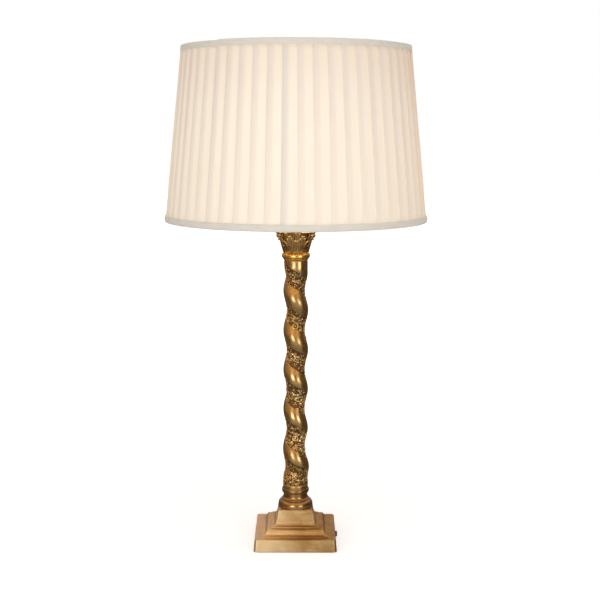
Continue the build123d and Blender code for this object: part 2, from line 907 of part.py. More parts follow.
def gimbal_arms():
    """Two wire arms, each with a flat eye that turns on its rivet."""
    eye_in = arm_eye_inside()
    eye_out = eye_in + arm_eye_thickness
    keep = Pos(eye_in + 2 * cover_bottom_radius, 0, pivot_z) * Box(
        4 * cover_bottom_radius, 4 * arm_eye_radius, 4 * shade_height
    )
    arm = arm_wire(arm_wire_radius) & keep
    arm -= rod(arm_eye_radius, (eye_out, 0, pivot_z), (eye_out + arm_eye_radius, 0, pivot_z))
    arm += rod(arm_eye_radius, (eye_in, 0, pivot_z), (eye_out, 0, pivot_z))
    arm -= rod(rivet_radius + thread_gap, (eye_in, 0, pivot_z), (eye_out, 0, pivot_z))
    return around(arm, 2)


def pleat_ring(height):
    """Outline of the knife pleats at a height: each fold edge steps out, lies flat, then runs in."""
    crest = cover_radius(height)
    valley = crest * (1 - pleat_depth / cover_bottom_radius)
    pitch = 360.0 / pleat_count
    points = []
    for k in range(pleat_count):
        fold = pleat_phase + k * pitch
        for radius, turn in ((valley, fold), (crest, fold), (crest, fold + pleat_overlap * pitch)):
            angle = math.radians(turn)
            points.append((radius * math.cos(angle), radius * math.sin(angle), height))
    return make_face(Polyline(*points, close=True))


def pleat_back(height):
    """Outline of the cover's back at a height, two flat sides to each pleat."""
    back = RegularPolygon(cover_radius(height) - cover_depth(), 2 * pleat_count, major_radius=False)
    return Pos(0, 0, height) * back


def cone_space(radius_at, bottom, top):
    """Solid cone between two heights, with its radius given as a function of height."""
    return turned((0, bottom), (radius_at(bottom), bottom), (radius_at(top), top), (0, top))


def shade_cover():
    """Knife-pleated cloth cover as one closed shell."""
    top = cover_z + cover_height
    folds = loft([pleat_ring(cover_z), pleat_ring(top)], ruled=True)
    return folds - loft([pleat_back(cover_z), pleat_back(top)], ruled=True)


def shade_lining():
    """Plain lining inside the frame, slit where the gimbal arms pass."""
    top = cover_z + cover_height
    cloth = cone_space(lining_radius, cover_z, top)
    cloth -= cone_space(lambda z: lining_radius(z) - lining_thickness, cover_z, top)
    for slit in around(arm_wire(arm_wire_radius + cloth_gap), 2):
        cloth -= slit
    return cloth


def trim_band(rim, edge, height, thickness):
    """Bound band on a rim: rim is the outer face's height and edge the way from it into the shade."""
    fold = rim + edge * trim_fold
    middle = rim + edge * height / 2
    far = rim + edge * height
    inside = lining_radius(fold) - lining_thickness
    return turned(
        (inside, rim),
        (cover_radius(fold) + cloth_gap, rim),
        (cover_radius(middle) + cloth_gap + thickness, middle, cover_radius(far) + cloth_gap, far),
        (cover_radius(fold) + cloth_gap / 2, fold),
        (inside, fold),
    )


def shade_bottom_trim():
    """Padded band round the bottom rim."""
    return trim_band(shade_bottom_height, 1, bottom_trim_height, bottom_trim_thickness)


def shade_top_trim():
    """Flat band round the top rim."""
    return trim_band(shade_top_height, -1, top_trim_height, top_trim_thickness)


def bulb_cap():
    """Metal cap of the bulb with its two bayonet pins."""
    inside = bulb_cap_radius - bulb_cap_wall
    cap = turned(
        (0, bulb_z),
        (bulb_cap_radius, bulb_z),
        (bulb_cap_radius, bulb_z + bulb_cap_length),
        (inside, bulb_z + bulb_cap_length),
        (inside, bulb_z + bulb_cap_floor),
        (0, bulb_z + bulb_cap_floor),
    )
    pin = rod(bulb_pin_radius, (0, inside, bulb_pin_z), (0, bulb_cap_radius + bulb_pin_reach, bulb_pin_z))
    return cap + around(pin, 2)


def bulb_contacts():
    """Two contact pads under the bulb's cap."""
    pad = pipe(bulb_contact_radius, 0, bulb_z - bulb_contact_height, bulb_z)
    return [Pos(x, y, 0) * pad for x, y in plunger_places()]


def bulb_outline(wall):
    """Half section of the bulb's glass, set in by a wall."""
    rim = bulb_z + bulb_cap_length
    globe = bulb_z + bulb_length - bulb_radius
    neck = bulb_cap_radius - bulb_cap_wall - thread_gap - wall
    radius = bulb_radius - wall
    flare = (bulb_neck_radius - wall, rim + bulb_neck_length)
    shoulder_angle = math.radians(-35)
    shoulder = (radius * math.cos(shoulder_angle), globe + radius * math.sin(shoulder_angle))
    waist = ((flare[0] + shoulder[0]) / 2 - wall - 1, (flare[1] + shoulder[1]) / 2)
    return (
        (0, bulb_z + bulb_cap_floor + slip_gap),
        (neck, bulb_z + bulb_cap_floor + slip_gap),
        (neck, rim),
        flare,
        (*waist, *shoulder),
        (radius, globe, radius * QUARTER, globe + radius * QUARTER),
        (radius * math.sin(math.pi / 8), globe + radius * math.cos(math.pi / 8), 0, globe + radius),
    )


def bulb_glass():
    """Frosted glass of the bulb, open at its neck."""
    return turned(*bulb_outline(0.0)) - turned(*bulb_outline(bulb_wall))


def write(name, shape):
    """Save one node; a list of solids becomes a group."""
    solids = shape if isinstance(shape, list) else [shape]
    bodies = [solid for piece in solids for solid in piece.solids()]
    export_step(bodies[0] if len(bodies) == 1 else Compound(children=bodies), f"parts/{name}.step")


os.makedirs("parts", exist_ok=True)
for make in (
    felt_pad,
    base_cover,
    cover_screws,
    base_weight,
    stepped_base,
    cord_inlet_bush,
    base_nut,
    earth_tag,
    base_washer,
    threaded_tube,
    column_foot,
    twisted_shaft,
    astragal_ring,
    leaf_capital,
    capital_cap,
    lock_nut,
    holder_cap,
    holder_body,
    holder_insulator,
    contact_plungers,
    plunger_springs,
    switch_bar,
    lower_shade_ring,
    upper_shade_ring,
    gimbal_ring,
    gimbal_rivets,
    gimbal_arms,
    frame_struts,
    shade_cover,
    shade_lining,
    shade_bottom_trim,
    shade_top_trim,
    bulb_cap,
    bulb_contacts,
    bulb_glass,
):
    write(make.__name__, make())
write("frame_bottom_ring", frame_ring(ring_heights()[0]))
write("frame_top_ring", frame_ring(ring_heights()[1]))
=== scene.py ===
"""Looks of a column table lamp: an aged brass spiral column under a lit, pleated silk shade."""

import logging
import random
from dataclasses import dataclass
from enum import Enum
from math import atan2, copysign, cos, degrees, dist, hypot, pi, radians, sin, sqrt
from typing import Callable, Iterable, Sequence

import bmesh
import bpy
from mathutils import Matrix, Vector, noise


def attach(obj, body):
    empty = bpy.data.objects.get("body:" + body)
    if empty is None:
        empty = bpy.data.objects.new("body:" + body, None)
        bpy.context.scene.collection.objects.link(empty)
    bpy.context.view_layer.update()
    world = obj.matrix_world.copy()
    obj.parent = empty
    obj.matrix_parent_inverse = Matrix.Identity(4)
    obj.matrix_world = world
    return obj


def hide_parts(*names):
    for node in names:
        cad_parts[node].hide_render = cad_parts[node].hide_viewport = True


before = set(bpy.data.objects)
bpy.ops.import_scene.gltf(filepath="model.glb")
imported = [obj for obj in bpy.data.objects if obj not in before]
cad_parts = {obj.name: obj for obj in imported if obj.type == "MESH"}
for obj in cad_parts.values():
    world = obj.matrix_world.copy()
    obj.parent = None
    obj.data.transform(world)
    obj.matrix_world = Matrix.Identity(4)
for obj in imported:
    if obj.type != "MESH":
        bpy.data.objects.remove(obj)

LOG = logging.getLogger("column_lamp")
MM = 0.001
TURN = 2.0 * pi

Colour = tuple[float, float, float]
Place = tuple[float, float, float]
Point = tuple[float, float]
Socket = bpy.types.NodeSocket
Material = bpy.types.Material
Mesh = bmesh.types.BMesh
Edge = bmesh.types.BMEdge
Vert = bmesh.types.BMVert
Layer = bmesh.types.BMLayerItem


class Body(Enum):
    """Moving bodies of the lamp."""

    LAMP = "lamp"
    SHADE = "shade"


class Slot(Enum):
    """Names of the lamp's finishes."""

    ANTIQUE_BRASS = "antique_brass"
    FELT = "felt"
    CREAM_SILK = "cream_silk"
    WHITE_LINING = "white_lining"
    CREAM_TRIM = "cream_trim"


class Curve(Enum):
    """Which way a quarter of a moulding bends."""

    ROUND = "round"
    HOLLOW = "hollow"


class Relief(Enum):
    """Kinds of carving in the vine band."""

    LEAF = "leaf"
    CURL = "curl"
    BERRY = "berry"
    ROSETTE = "rosette"


class Graph:
    """Node tree of one material or world, with short calls for the nodes that are used here."""

    def __init__(self, name: str, world: bool = False) -> None:
        """Starts an empty tree.

        Args:
            name: Name of the material or world.
            world: Whether it is a world.
        """
        self.owner = (bpy.data.worlds if world else bpy.data.materials).new(name)
        self.owner.use_nodes = True
        self.tree = self.owner.node_tree
        self.tree.nodes.clear()
        self.output = self.tree.nodes.new("ShaderNodeOutputWorld" if world else "ShaderNodeOutputMaterial")

    def feed(self, socket: Socket, value: object) -> None:
        """Links a socket to another one, or sets its value.

        Args:
            socket: The input to fill.
            value: An output socket, or a constant.
        """
        if isinstance(value, Socket):
            self.tree.links.new(value, socket)
        elif socket.type == "RGBA" and len(value) == 3:
            socket.default_value = (*value, 1.0)
        else:
            socket.default_value = value

    def node(self, kind: str, inputs: dict[str | int, object], **settings: object) -> bpy.types.Node:
        """Adds a node.

        Args:
            kind: The node's type.
            inputs: What goes into its sockets, by name or number.
            settings: Its own properties.

        Returns:
            The node.
        """
        made = self.tree.nodes.new(kind)
        for key, value in settings.items():
            setattr(made, key, value)
        for key, value in inputs.items():
            self.feed(made.inputs[key], value)
        return made

    def place(self) -> Socket:
        """Object coordinates."""
        return self.node("ShaderNodeTexCoord", {}).outputs["Object"]

    def cloth(self) -> Socket:
        """The cloth's own coordinates, in metres along and across its threads."""
        return self.node("ShaderNodeTexCoord", {}).outputs["UV"]

    def parts(self, vector: Socket) -> bpy.types.bpy_prop_collection:
        """The three parts of a vector, by axis."""
        return self.node("ShaderNodeSeparateXYZ", {"Vector": vector}).outputs

    def mark(self, name: str) -> Socket:
        """A number that the mesh carries at each point."""
        return self.node("ShaderNodeAttribute", {}, attribute_name=name).outputs["Fac"]

    def seen(self) -> Socket:
        """Tells what is looked at from what only takes part in the light.

        Returns:
            1 for rays from the camera, a mirror or clear glass, and 0 for the others.
        """
        rays = self.node("ShaderNodeLightPath", {}).outputs
        mirrored = self.sum("MAXIMUM", rays["Is Camera Ray"], rays["Is Glossy Ray"])
        return self.sum("MAXIMUM", mirrored, rays["Is Transmission Ray"])

    def cloud(self, vector: Socket, scale: float | Colour, detail: float = 3.0, twist: float = 0.0) -> Socket:
        """Soft noise from 0 to 1.

        Args:
            vector: Its coordinates.
            scale: Its fineness, one number or one for each axis.
            detail: Its octaves.
            twist: How far it is distorted.

        Returns:
            The noise.
        """
        if isinstance(scale, tuple):
            vector = self.node("ShaderNodeMapping", {"Vector": vector, "Scale": scale}).outputs["Vector"]
            scale = 1.0
        inputs = {"Vector": vector, "Scale": scale, "Detail": detail, "Roughness": 0.55, "Distortion": twist}
        return self.node("ShaderNodeTexNoise", inputs).outputs["Fac"]

    def threads(self, cloth: Socket, way: str, scale: float, uneven: float, detail: float) -> Socket:
        """One set of threads or ribs.

        Args:
            cloth: The cloth's coordinates.
            way: Axis that the threads repeat along.
            scale: Their fineness.
            uneven: How far they are distorted.
            detail: Octaves of the distortion.

        Returns:
            Their height.
        """
        inputs = {"Vector": cloth, "Scale": scale, "Distortion": uneven, "Detail": detail}
        return self.node("ShaderNodeTexWave", inputs, bands_direction=way).outputs["Fac"]

    def weave(self, cloth: Socket) -> Socket:
        """Height of a plain weave."""
        return self.sum("MAXIMUM", *(self.threads(cloth, way, 330.0, 0.6, 1.0) for way in "XY"))

    def spread(self, value: Socket, low: float, high: float, first: float = 0.0, last: float = 1.0) -> Socket:
        """Maps a range of values smoothly to another range.

        Args:
            value: What is mapped.
            low: Value that gives first.
            high: Value that gives last.
            first: Result at and below low.
            last: Result at and above high.

        Returns:
            The mapped value.
        """
        inputs = {"Value": value, "From Min": low, "From Max": high, "To Min": first, "To Max": last}
        return self.node("ShaderNodeMapRange", inputs, interpolation_type="SMOOTHSTEP").outputs["Result"]

    def sum(self, kind: str, first: object, second: object = 0.0) -> Socket:
        """One step of arithmetic on two values."""
        return self.node("ShaderNodeMath", {0: first, 1: second}, operation=kind).outputs["Value"]

    def blend(self, share: object, first: object, second: object, kind: str = "MIX") -> Socket:
        """Mixes two colours.

        Args:
            share: How much of the second colour shows.
            first: The first colour.
            second: The second colour.
            kind: How they are mixed.

        Returns:
            The mixed colour.
        """
        inputs = {0: share, 6: first, 7: second}
        return self.node("ShaderNodeMix", inputs, data_type="RGBA", blend_type=kind).outputs[2]

    def bump(self, height: Socket, strength: float, depth: float, under: Socket | None = None) -> Socket:
        """Fine unevenness.

        Args:
            height: The height from 0 to 1.
            strength: How strongly it shows.
            depth: Its real depth in metres.
            under: Another bump that it lies on.

        Returns:
            The normal.
        """
        inputs = {"Height": height, "Strength": strength, "Distance": depth}
        if under is not None:
            inputs["Normal"] = under
        return self.node("ShaderNodeBump", inputs).outputs["Normal"]

    def end(self, shader: bpy.types.Node) -> bpy.types.ID:
        """Ends the tree in a shader and hands over the material or world."""
        self.tree.links.new(shader.outputs[0], self.output.inputs["Surface"])
        return self.owner

    def surface(self, inputs: dict[str | int, object]) -> Material:
        """Ends the tree in a surface shader that takes these inputs, and hands over the material."""
        return self.end(self.node("ShaderNodeBsdfPrincipled", inputs))


@dataclass(frozen=True)
class AgedBrass:
    """Lacquered brass, rubbed bright on its high places, with a dark stain left in its hollows; it can also
    carry a painted highlight towards its left side, and pale marked corners that are partly rubbed brass and
    partly a painted highlight.
    """

    name: str
    bright: Colour = (0.50, 0.325, 0.135)
    dull: Colour = (0.33, 0.19, 0.062)
    stain: Colour = (0.055, 0.030, 0.011)
    # Pale colour for rubbed brass, also used for painted highlights.
    rubbed: Colour = (0.86, 0.70, 0.46)
    smooth: float = 0.17
    rough: float = 0.36
    streak: float = 0.35
    lacquer: float = 0.22
    coarse: float = 2600.0
    # Strength of a painted highlight that makes the brass paler towards its left side.
    painted_left_highlight: float = 0.0
    carved: bool = False

    def material(self) -> Material:
        """Makes the material.

        Returns:
            The finished material.
        """
        graph = Graph(self.name)
        place = graph.place()
        along = graph.parts(place)
        tarnish = graph.spread(graph.cloud(place, 38.0, 3.0, 0.6), 0.34, 0.70)
        speck = graph.cloud(place, 620.0)
        sweep = {"X": graph.sum("MULTIPLY", graph.mark("across"), self.coarse)}
        sweep |= {to: graph.sum("MULTIPLY", along[axis], 24.0) for to, axis in (("Y", "X"), ("Z", "Y"))}
        lines = graph.cloud(graph.node("ShaderNodeCombineXYZ", sweep).outputs["Vector"], 1.0, 5.0)
        colour = graph.blend(tarnish, self.bright, self.dull)
        streaks = graph.spread(lines, 0.32, 0.72, 0.0, self.streak)
        colour = graph.blend(streaks, colour, self.dull)
        # Marked corners painted in the pale colour: partly rubbed brass, partly a painted highlight along the
        # edges.
        worn = graph.sum("MULTIPLY", graph.mark("worn"), graph.spread(speck, 0.25, 0.6, 0.55, 1.0))
        # Painted highlight: the brass is painted paler towards its left side, as if lit from there.
        if self.painted_left_highlight:
            left_highlight_share = graph.spread(along["X"], -0.072, 0.03, self.painted_left_highlight, 0.0)
            colour = graph.blend(left_highlight_share, colour, self.rubbed)
        colour = graph.blend(worn, colour, self.rubbed)
        roughness = graph.spread(graph.sum("ADD", tarnish, lines), 0.4, 1.5, self.smooth, self.rough)
        lacquer = self.lacquer
        if self.carved:
            relief = graph.mark("relief")
            rubbed = graph.sum("ADD", relief, graph.sum("MULTIPLY", graph.sum("SUBTRACT", speck, 0.5), 0.55))
            clean = graph.spread(rubbed, 0.18, 0.78)
            colour = graph.blend(clean, self.stain, colour)
            dirty = graph.spread(rubbed, 0.18, 0.78, 0.62, 0.0)
            roughness = graph.sum("MAXIMUM", roughness, dirty)
            lacquer = graph.sum("MULTIPLY", clean, self.lacquer)
        grain = graph.bump(lines, 0.10, 0.0003)
        pits = graph.bump(speck, 0.11 if self.carved else 0.03, 0.0004, grain)
        return graph.surface(
            {
                "Base Color": colour,
                "Metallic": 1.0,
                "Roughness": roughness,
                "Specular Tint": (0.62, 0.45, 0.25, 1.0),
                "Coat Weight": lacquer,
                "Coat Roughness": 0.12,
                "Normal": pits,
            }
        )


@dataclass(frozen=True)
class PlainMetal:
    """Machined or plated metal with a fine turned grain and a little soiling."""

    name: str
    colour: Colour
    soiled: Colour
    smooth: float = 0.22
    rough: float = 0.42
    metallic: float = 1.0

    def material(self) -> Material:
        """Makes the material.

        Returns:
            The finished material.
        """
        graph = Graph(self.name)
        place = graph.place()
        soil = graph.spread(graph.cloud(place, 130.0, 4.0, 0.4), 0.45, 0.75)
        lines = graph.cloud(place, (40.0, 40.0, 2600.0), 2.0)
        colour = graph.blend(soil, self.colour, self.soiled)
        roughness = graph.spread(graph.sum("ADD", soil, lines), 0.4, 1.6, self.smooth, self.rough)
        return graph.surface(
            {
                "Base Color": colour,
                "Metallic": self.metallic,
                "Roughness": roughness,
                "Normal": graph.bump(lines, 0.12, 0.0003),
            }
        )


@dataclass(frozen=True)
class CastIron:
    """Rough black-painted casting."""

    name: str = "cast_iron"
    colour: Colour = (0.035, 0.034, 0.033)
    rust: Colour = (0.10, 0.045, 0.02)

    def material(self) -> Material:
        """Makes the material.

        Returns:
            The finished material.
        """
        graph = Graph(self.name)
        place = graph.place()
        rust = graph.spread(graph.cloud(place, 90.0, 5.0), 0.58, 0.75)
        grit = graph.cloud(place, 900.0, 4.0)
        return graph.surface(
            {
                "Base Color": graph.blend(rust, self.colour, self.rust),
                "Metallic": 0.4,
                "Roughness": graph.spread(grit, 0.3, 0.7, 0.55, 0.85),
                "Normal": graph.bump(grit, 0.5, 0.0008),
            }
        )


@dataclass(frozen=True)
class MouldedPlastic:
    """Moulded plastic with a faint orange-peel skin."""

    name: str
    colour: Colour
    worn: Colour

    def material(self) -> Material:
        """Makes the material.

        Returns:
            The finished material.
        """
        graph = Graph(self.name)
        place = graph.place()
        peel = graph.cloud(place, 1400.0, 2.0)
        wear = graph.spread(graph.cloud(place, 240.0, 4.0), 0.5, 0.8)
        return graph.surface(
            {
                "Base Color": graph.blend(wear, self.colour, self.worn),
                "Roughness": graph.spread(wear, 0.0, 1.0, 0.32, 0.5),
                "Normal": graph.bump(peel, 0.12, 0.0003),
            }
        )


@dataclass(frozen=True)
class Felt:
    """Matted wool felt with loose fibres."""

    name: str = "green_felt"
    colour: Colour = (0.040, 0.055, 0.036)
    fibre: Colour = (0.085, 0.105, 0.07)

    def material(self) -> Material:
        """Makes the material.

        Returns:
            The finished material.
        """
        graph = Graph(self.name)
        place = graph.place()
        mat = graph.cloud(place, (700.0, 2200.0, 1500.0), 4.0, 1.2)
        tufts = graph.cloud(place, 420.0)
        return graph.surface(
            {
                "Base Color": graph.blend(graph.spread(mat, 0.35, 0.7), self.colour, self.fibre),
                "Roughness": graph.spread(tufts, 0.3, 0.7, 0.85, 1.0),
                "Sheen Weight": 0.5,
                "Sheen Roughness": 0.5,
                "Normal": graph.bump(graph.sum("ADD", mat, tufts), 0.6, 0.0008),
            }
        )


@dataclass(frozen=True)
class PleatedSilk:
    """Thin cream silk with the bulb's light through it painted in as emission, darker where a pleat lies
    three layers deep.
    """

    name: str = "pleated_silk"
    colour: Colour = (0.80, 0.755, 0.68)
    # Glow colours painted in as emission for the bulb's light through the silk: through one layer, through
    # three layers, along one painted dark line, and the tint towards the top rim.
    glow_one_layer: Colour = (0.32, 0.25, 0.175)
    glow_three_layers: Colour = (0.165, 0.092, 0.075)
    painted_dark_line: Colour = (0.10, 0.085, 0.085)
    top_tint: Colour = (0.93, 0.78, 0.62)
    slubbed: Colour = (0.84, 0.80, 0.73)
    glow_z: float = 0.715
    glow_reach: float = 0.20

    def material(self) -> Material:
        """Makes the material.

        Returns:
            The finished material.
        """
        graph = Graph(self.name)
        cloth = graph.cloth()
        slub = graph.cloud(cloth, (520.0, 26.0, 1.0))
        weft = graph.cloud(cloth, (40.0, 900.0, 1.0), 2.0)
        height = graph.parts(graph.place())["Z"]
        # Painted light: the glow is brightest at the bulb's height and dims above and below, varies with the
        # slubs, is darker through three layers and along one line, and is warmer and dimmer towards the top
        # rim.
        low = graph.spread(height, self.glow_z - self.glow_reach, self.glow_z, 0.86, 1.0)
        high = graph.spread(height, self.glow_z, self.glow_z + self.glow_reach, 1.0, 0.80)
        shine = graph.sum("MULTIPLY", low, high)
        uneven = graph.spread(graph.sum("ADD", slub, weft), 0.7, 1.3, 0.955, 1.03)
        shine = graph.sum("MULTIPLY", shine, uneven)
        glow = graph.blend(graph.mark("fold"), self.glow_one_layer, self.glow_three_layers)
        glow = graph.blend(graph.mark("painted_dark_line"), glow, self.painted_dark_line)
        glow = graph.blend(graph.spread(height, 0.77, 0.89), glow, self.top_tint, "MULTIPLY")
        glow = graph.blend(1.0, glow, shine, "MULTIPLY")
        woven = graph.bump(graph.weave(cloth), 0.10, 0.0001)
        return graph.surface(
            {
                "Base Color": graph.blend(graph.spread(slub, 0.35, 0.7, 0.0, 0.5), self.colour, self.slubbed),
                "Roughness": graph.spread(weft, 0.3, 0.7, 0.55, 0.72),
                "Specular IOR Level": 0.28,
                "Sheen Weight": 0.4,
                "Sheen Roughness": 0.4,
                "Sheen Tint": (1.0, 0.74, 0.44, 1.0),
                "Emission Color": glow,
                "Emission Strength": 1.0,
                "Normal": graph.bump(slub, 0.12, 0.0004, woven),
            }
        )


@dataclass(frozen=True)
class LiningCloth:
    """Matt white lining cloth, laminated stiff, with a faint warm glow painted in as emission for the bulb's
    light on it.
    """

    name: str = "lining_cloth"
    colour: Colour = (0.86, 0.83, 0.77)
    shaded: Colour = (0.80, 0.765, 0.70)

    def material(self) -> Material:
        """Makes the material.

        Returns:
            The finished material.
        """
        graph = Graph(self.name)
        cloth = graph.cloth()
        cloudy = graph.cloud(cloth, (60.0, 60.0, 1.0), 4.0)
        return graph.surface(
            {
                "Base Color": graph.blend(cloudy, self.colour, self.shaded),
                "Roughness": graph.spread(cloudy, 0.3, 0.7, 0.75, 0.9),
                "Specular IOR Level": 0.2,
                # Painted light: a faint warm emission stands in for the bulb lighting the lining.
                "Emission Color": (1.0, 0.74, 0.46, 1.0),
                "Emission Strength": 0.10,
                "Normal": graph.bump(graph.weave(cloth), 0.2, 0.0002),
            }
        )


@dataclass(frozen=True)
class TrimTape:
    """Folded binding tape of ribbed cream cloth."""

    name: str = "trim_tape"
    colour: Colour = (0.87, 0.83, 0.745)
    shaded: Colour = (0.82, 0.775, 0.69)

    def material(self) -> Material:
        """Makes the material.

        Returns:
            The finished material.
        """
        graph = Graph(self.name)
        cloth = graph.cloth()
        ribs = graph.threads(cloth, "X", 190.0, 0.8, 2.0)
        cloudy = graph.cloud(cloth, (45.0, 300.0, 1.0), 4.0)
        return graph.surface(
            {
                "Base Color": graph.blend(graph.spread(cloudy, 0.38, 0.66), self.colour, self.shaded),
                "Roughness": graph.spread(cloudy, 0.3, 0.7, 0.7, 0.85),
                "Specular IOR Level": 0.25,
                "Sheen Weight": 0.15,
                "Normal": graph.bump(graph.sum("ADD", ribs, cloudy), 0.07, 0.0003),
            }
        )


@dataclass(frozen=True)
class FrostedGlass:
    """Frosted bulb glass, lit from inside."""

    name: str = "frosted_glass"
    colour: Colour = (0.93, 0.91, 0.87)
    shaded: Colour = (0.87, 0.84, 0.79)
    glow: Colour = (1.0, 0.80, 0.52)
    glow_edge: Colour = (1.0, 0.72, 0.42)

    def material(self) -> Material:
        """Makes the material.

        Returns:
            The finished material.
        """
        graph = Graph(self.name)
        frost = graph.cloud(graph.place(), 1800.0)
        patch = graph.cloud(graph.place(), 45.0, 2.0)
        return graph.surface(
            {
                "Base Color": graph.blend(patch, self.colour, self.shaded),
                "Roughness": graph.spread(frost, 0.3, 0.7, 0.4, 0.6),
                "Emission Color": graph.blend(patch, self.glow, self.glow_edge),
                "Emission Strength": 0.55,
                "Normal": graph.bump(frost, 0.15, 0.0002),
            }
        )


def outline_arc(here: Point, there: Point, curve: Curve, count: int = 8) -> list[Point]:
    """Points of a quarter moulding that goes in and up, without its first point.

    Args:
        here: Lower and outer end.
        there: Upper and inner end.
        curve: Which way it bends.
        count: Number of points.

    Returns:
        The points, the last one at there.
    """
    made = []
    for index in range(1, count + 1):
        turn = pi / 2 * index / count
        if curve is Curve.ROUND:
            share_in, share_up = 1 - cos(turn), sin(turn)
        else:
            share_in, share_up = sin(turn), 1 - cos(turn)
        made.append((here[0] + (there[0] - here[0]) * share_in, here[1] + (there[1] - here[1]) * share_up))
    return made


def outline_bead(here: Point, there: Point, reach: float, count: int = 10) -> list[Point]:
    """Points of a bead that stands out between two heights, without its first point.

    Args:
        here: Lower end.
        there: Upper end.
        reach: Radius of the bead's crest.
        count: Number of points.

    Returns:
        The points, the last one at there.
    """
    made = []
    for index in range(1, count + 1):
        share = index / count
        foot = here[0] + (there[0] - here[0]) * share
        swell = (reach - (here[0] + there[0]) / 2) * sqrt(max(0.0, 1 - (2 * share - 1) ** 2))
        made.append((foot + swell, here[1] + (there[1] - here[1]) * (1 - cos(pi * share)) / 2))
    return made[:-1] + [there]


def smooth_step(share: float) -> float:
    """Eases a share from 0 to 1."""
    share = min(1.0, max(0.0, share))
    return share * share * (3.0 - 2.0 * share)


def polar(radius: float, turn: float, z: float) -> Vector:
    """Place in metres, from a radius and a height in millimetres and an angle in radians."""
    return Vector((radius * cos(turn), radius * sin(turn), z)) * MM


def of_kind(items: Iterable[object], kind: type) -> list:
    """Those items that are of one kind."""
    return [item for item in items if isinstance(item, kind)]


def carved_mesh() -> tuple[Mesh, Layer, Layer]:
    """Empty mesh with the layers that the brass reads, "across" and "relief"."""
    mesh = bmesh.new()
    return mesh, mesh.verts.layers.float.new("across"), mesh.verts.layers.float.new("relief")


def face_out(mesh: Mesh) -> None:
    """Turns all faces of a mesh outwards."""
    bmesh.ops.recalc_face_normals(mesh, faces=mesh.faces)


def spin(mesh: Mesh, geom: list, angle: float, steps: int, **options: object) -> None:
    """Spins a part of a mesh about the upright axis."""
    bmesh.ops.spin(mesh, geom=geom, axis=(0, 0, 1), cent=(0, 0, 0), angle=angle, steps=steps, **options)


def chain(mesh: Mesh, verts: Sequence[Vert]) -> list[Edge]:
    """New edges from each point to the next one."""
    return [mesh.edges.new(pair) for pair in zip(verts, verts[1:])]


def outer_edges(verts: Sequence[Vert]) -> list[Edge]:
    """Every edge at these points, once."""
    return list(dict.fromkeys(edge for vert in verts for edge in vert.link_edges))


def bent_rod(
    mesh: Mesh, seat: Matrix, thick: float, sides: int, angle: float, steps: int, **options: object
) -> None:
    """Spins a round section about the upright axis.

    Args:
        mesh: The mesh that it goes into.
        seat: Where the section starts.
        thick: Radius of the section.
        sides: Its number of sides.
        angle: How far it is spun.
        steps: In how many steps.
        options: Further options of the spin.
    """
    upright = seat @ Matrix.Rotation(pi / 2, 4, "X")
    section = bmesh.ops.create_circle(mesh, segments=sides, radius=thick, matrix=upright)["verts"]
    spin(mesh, section + outer_edges(section), angle, steps, **options)


def turned(profile: Sequence[Point], steps: int, start: float = 0.0) -> Mesh:
    """Turns a closed outline about the lamp's axis.

    Args:
        profile: Outline of (radius, height) in millimetres.
        steps: Steps of a full turn.
        start: Angle of the first step.

    Returns:
        The mesh, with the way along the outline kept as "across".
    """
    mesh, across, _ = carved_mesh()
    run = 0.0
    verts = []
    for index, (radius, height) in enumerate(profile):
        run += dist(profile[index - 1], profile[index]) if index else 0.0
        vert = mesh.verts.new((radius * MM * cos(start), radius * MM * sin(start), height * MM))
        vert[across] = run * MM
        verts.append(vert)
    spin(mesh, verts + chain(mesh, verts + verts[:1]), TURN, steps, use_merge=True)
    bmesh.ops.remove_doubles(mesh, verts=mesh.verts, dist=1e-6)
    face_out(mesh)
    return mesh


def soften(mesh: Mesh, test: Callable[[Edge], bool], width: float, steps: int) -> None:
    """Rounds the edges that pass a test.

    Args:
        mesh: The mesh.
        test: Says which edges are rounded.
        width: Width of the rounding in millimetres.
        steps: Facets across it.
    """
    edges = [edge for edge in mesh.edges if test(edge)]
    bmesh.ops.bevel(
        mesh, geom=edges, offset=width * MM, offset_type="OFFSET", segments=steps, profile=0.5,
        affect="EDGES", material=-1, clamp_overlap=True,
    )


def join(mesh: Mesh, other: Mesh) -> None:
    """Adds a second mesh to a first one and frees it.

    Args:
        mesh: The mesh that grows.
        other: The mesh that goes into it.
    """
    carrier = bpy.data.meshes.new("carrier")
    other.to_mesh(carrier)
    other.free()
    mesh.from_mesh(carrier)
    bpy.data.meshes.remove(carrier)


def add_object(name: str, data: bpy.types.ID) -> bpy.types.Object:
    """Puts a new object into the scene.

    Args:
        name: Its name.
        data: Its mesh, light or camera.

    Returns:
        The object.
    """
    made = bpy.data.objects.new(name, data)
    bpy.context.scene.collection.objects.link(made)
    return made


def mesh_data(name: str, mesh: Mesh, material: Material) -> bpy.types.Mesh:
    """Stores a mesh with its finish.

    Args:
        name: Its name.
        mesh: The mesh, which is freed.
        material: Its finish.

    Returns:
        The stored mesh.
    """
    data = bpy.data.meshes.new(name)
    mesh.to_mesh(data)
    mesh.free()
    data.materials.append(material)
    return data


